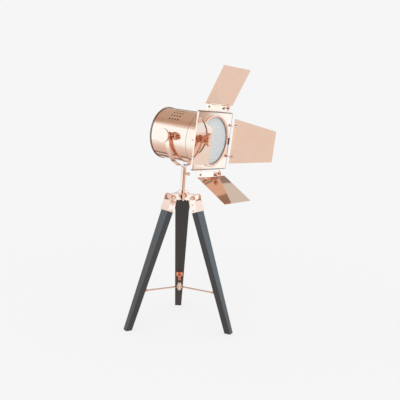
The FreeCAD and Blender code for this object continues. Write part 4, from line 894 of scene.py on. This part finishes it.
# Lens, its ring and clips ------------------------------------------------------------
# The glass is frosted behind and sits in a turned ring, held by a sprung wire. Two clips
# of sheet hold the ring to the frame.
GLASS_RADIUS, GLASS_THICKNESS, GLASS_SET_BACK = 60.0, 3.0, 3.4
GLASS_FRONT = FRAME_FRONT - GLASS_SET_BACK
GLASS_REAR = GLASS_FRONT - GLASS_THICKNESS
FROST, FROST_PALE = (0.795, 0.840, 0.848, 1), (0.815, 0.860, 0.868, 1)
RING_BORE, RING_BEAD, RING_CREST, RING_RISE = 57.5, 63.6, 60.9, 3.4
WIRE, WIRE_GAP = 1.1, 2.2
SPRING_BROWN, SPRING_BROWN_DEEP = (0.130, 0.034, 0.022, 1), (0.085, 0.022, 0.015, 1)
CLIP_HALF, CLIP_SHEET, CLIP_ROOM, CLIP_BEND = 8.5, 0.9, 0.15, 0.4
CLIP_FOOT, CLIP_HEEL, CLIP_KNEE, CLIP_TIP = 70.6, 67.1, 62.6, 58.8
ring_rear, crest = GLASS_REAR - 2 * WIRE, FRAME_FRONT + RING_RISE
ring = rounded([(ring_rear, GLASS_RADIUS + SLIDE_ROOM), (ring_rear, RING_TUBE, 0.3), (FRAME_FRONT, RING_TUBE),
                (FRAME_FRONT, RING_BEAD, 0.4), (crest - 0.7, RING_BEAD - 0.2, 1.6), (crest, RING_CREST, 1.8),
                (crest - 0.9, RING_BORE + 0.3, 1.4), (GLASS_FRONT, RING_BORE, 0.2),
                (GLASS_FRONT, GLASS_RADIUS + SLIDE_ROOM)], 6)
# Painted shade: a brown band in the ring's bore just in front of the glass.
bezel_copper = copper_plate("copper_bezel", 0.08, 0.008, 0.15, [(GLASS_FRONT - 0.1, GLASS_FRONT + 2.6)])
head_piece("lens_bezel", ring, bezel_copper, "lens_ring")
frost, add = node_material("frosted_glass")
place = add("TexCoord").outputs["Object"]
fine = noise(add, place, 1400.0, 2.0)
glass = add("BsdfPrincipled", {"Base Color": between(add, fine, FROST, FROST_PALE), "Roughness": 0.42,
                               "Normal": bumped(add, fine, 0.02), "Transmission Weight": 0.03, "IOR": 1.45,
                               "Specular IOR Level": 0.0})
add("OutputMaterial", {"Surface": glass.outputs[0]})
disc = rounded([(GLASS_REAR, 0), (GLASS_REAR, GLASS_RADIUS, 0.4), (GLASS_FRONT, GLASS_RADIUS, 0.4),
                (GLASS_FRONT, 0)])
head_piece("frosted_lens", disc, frost, "lens", slot="frosted_glass")
wire_round = GLASS_RADIUS - 0.2 - WIRE / 2
wire = [(GLASS_REAR - WIRE / 2 + WIRE / 2 * math.cos(a), wire_round + WIRE / 2 * math.sin(a))
        for a in [2 * math.pi * k / 10 for k in range(10)]]
wire_bm = turned(wire, 180)
gap = [v for v in wire_bm.verts if v.co.z < 0 and abs(v.co.y) < WIRE_GAP * MM]
bmesh.ops.delete(wire_bm, geom=gap, context="VERTS")
bmesh.ops.holes_fill(wire_bm, edges=[e for e in wire_bm.edges if e.is_boundary])
sprung_wire = smooth(from_bmesh("sprung_wire", wire_bm, HEAD))
fitted(sprung_wire, "head", "bright_steel", bright_steel, "lens_snap_ring")
browned_spring = copper_plate("browned_spring", 0.20, 0.02, tones=(SPRING_BROWN, SPRING_BROWN_DEEP))
lift = crest + CLIP_ROOM
clip = [(FRAME_FRONT, CLIP_FOOT), (FRAME_FRONT, CLIP_HEEL), (lift, CLIP_KNEE), (lift, CLIP_TIP),
        (lift + CLIP_SHEET, CLIP_TIP), (lift + CLIP_SHEET, CLIP_KNEE + CLIP_BEND),
        (FRAME_FRONT + CLIP_SHEET, CLIP_HEEL + CLIP_BEND), (FRAME_FRONT + CLIP_SHEET, CLIP_FOOT)]
for side, sign in (("left", -1), ("right", 1)):
    clip_bm = bmesh.new()
    ends = [[clip_bm.verts.new((x * MM, sign * y * MM, end * CLIP_HALF * MM)) for x, y in clip]
            for end in (-1, 1)]
    for k in range(len(clip)):
        n = (k + 1) % len(clip)
        clip_bm.faces.new([ends[0][k], ends[0][n], ends[1][n], ends[1][k]])
    clip_bm.faces.new(ends[0])
    clip_bm.faces.new(ends[1])
    sprung = from_bmesh("sprung_clip_" + side, clip_bm, HEAD)
    fitted(sprung, "head", "copper_plate", browned_spring, "ring_clip_" + side)

# Barn doors --------------------------------------------------------------------------
# Two square flaps on stepped hinge strips and two tapered wings with folded ears, all
# sheared from sheet, folded, polished and plated on both faces.
DOOR_EDGE = 0.22
DOOR_TONE, DOOR_TONE_DEEP = (0.86, 0.612, 0.484, 1), (0.81, 0.523, 0.386, 1)
door_copper = copper_plate("copper_door", 0.028, 0.001, tones=(DOOR_TONE, DOOR_TONE_DEEP))
for door in ("top", "bottom", "left", "right"):
    eased("door_" + door, DOOR_EDGE, door_copper)

# Door pins ---------------------------------------------------------------------------
# A shouldered screw through each ear and lug, slotted outside, with a hexagon nut inside.
# Both are turned from bar, and their plate is duller than the doors'.
PIN_RADIUS = 1.5
PIN_NUT, PIN_HEAD = 36.0, 40.7
DOOR_TURNS = {"right": 0, "top": 90, "left": 180, "bottom": 270}
WING_PIN, FLAP_PIN = (97.2, 76.9), (91.0, 81.5)
PIN_TONE, PIN_TONE_DEEP = (0.46, 0.29, 0.21, 1), (0.36, 0.21, 0.15, 1)
pin_copper = copper_plate("copper_pin", 0.22, 0.02, tones=(PIN_TONE, PIN_TONE_DEEP))
pin_stem = rod("pin_stem", PIN_RADIUS, PIN_HEAD - PIN_NUT, 24)
for door, degrees in DOOR_TURNS.items():
    turn = HEAD @ Matrix.Rotation(math.radians(degrees), 4, "X")
    ahead, off = FLAP_PIN if door in ("top", "bottom") else WING_PIN
    pieces = []
    for side in (-1, 1):
        nut = turn @ set_on((ahead, off, side * PIN_NUT), (0, 0, side), 0.4)
        head = turn @ set_on((ahead, off, side * PIN_HEAD), (0, 0, side), 0.8 + 1.3 * side)
        pieces += [(pin_stem, nut), (small_nut, nut), (small_head, head)]
    fitted(scattered(door + "_door_pins", pieces), "head", "copper_plate", pin_copper, "hinge_screws_" + door)

# Tilt pivots -------------------------------------------------------------------------
# On each side a carriage bolt runs out through the drum, a saddle spacer and the yoke's
# arm, and takes a flared knob that clamps the tilt.
YOKE_OUTER = 71.5
KNOB_LENGTH, KNOB_BASE, KNOB_RIM = 18.0, 10.0, 17.0
KNOB_WAIST, KNOB_FLARE = 5.0, 13.0
KNOB_DISH, KNOB_DISH_DEPTH = 14.5, 1.2
KNOB_BORE, KNOB_BORE_DEPTH, DISH_STEPS = 3.05, 12.0, 12
KNOB_ROOM = 0.3
BOLT_EDGE = 0.15
SADDLE_TONE, SADDLE_TONE_DEEP = (0.56, 0.30, 0.20, 1), (0.44, 0.22, 0.14, 1)
knob_copper = copper_plate("copper_knob", 0.09, 0.01, 0.35)
saddle_copper = copper_plate("copper_saddle", 0.14, 0.02, tones=(SADDLE_TONE, SADDLE_TONE_DEEP))
knob_dish = [(KNOB_LENGTH - KNOB_DISH_DEPTH * (1 - (k / DISH_STEPS) ** 2), KNOB_DISH * k / DISH_STEPS)
             for k in range(DISH_STEPS, -1, -1)]
knob = rounded([(0, KNOB_BORE), (0, KNOB_BASE, 1.3), (KNOB_WAIST, KNOB_BASE, 3.5),
                (KNOB_FLARE, KNOB_RIM, 1.2), (KNOB_LENGTH, KNOB_RIM, 0.25)] + knob_dish
               + [(KNOB_BORE_DEPTH, 0), (KNOB_BORE_DEPTH, KNOB_BORE)], 6)
for side, sign in (("left", -1), ("right", 1)):
    eased("pivot_bolt_" + side, BOLT_EDGE, bright_steel)
    eased("pivot_spacer_" + side, SHEET_EDGE, saddle_copper)
    seat = HEAD @ set_on((0, sign * (YOKE_OUTER + KNOB_ROOM), 0), (0, sign, 0))
    head_piece(side + "_clamping_knob", knob, knob_copper, "knob_" + side, around=120, body="knob_" + side,
               place=seat)
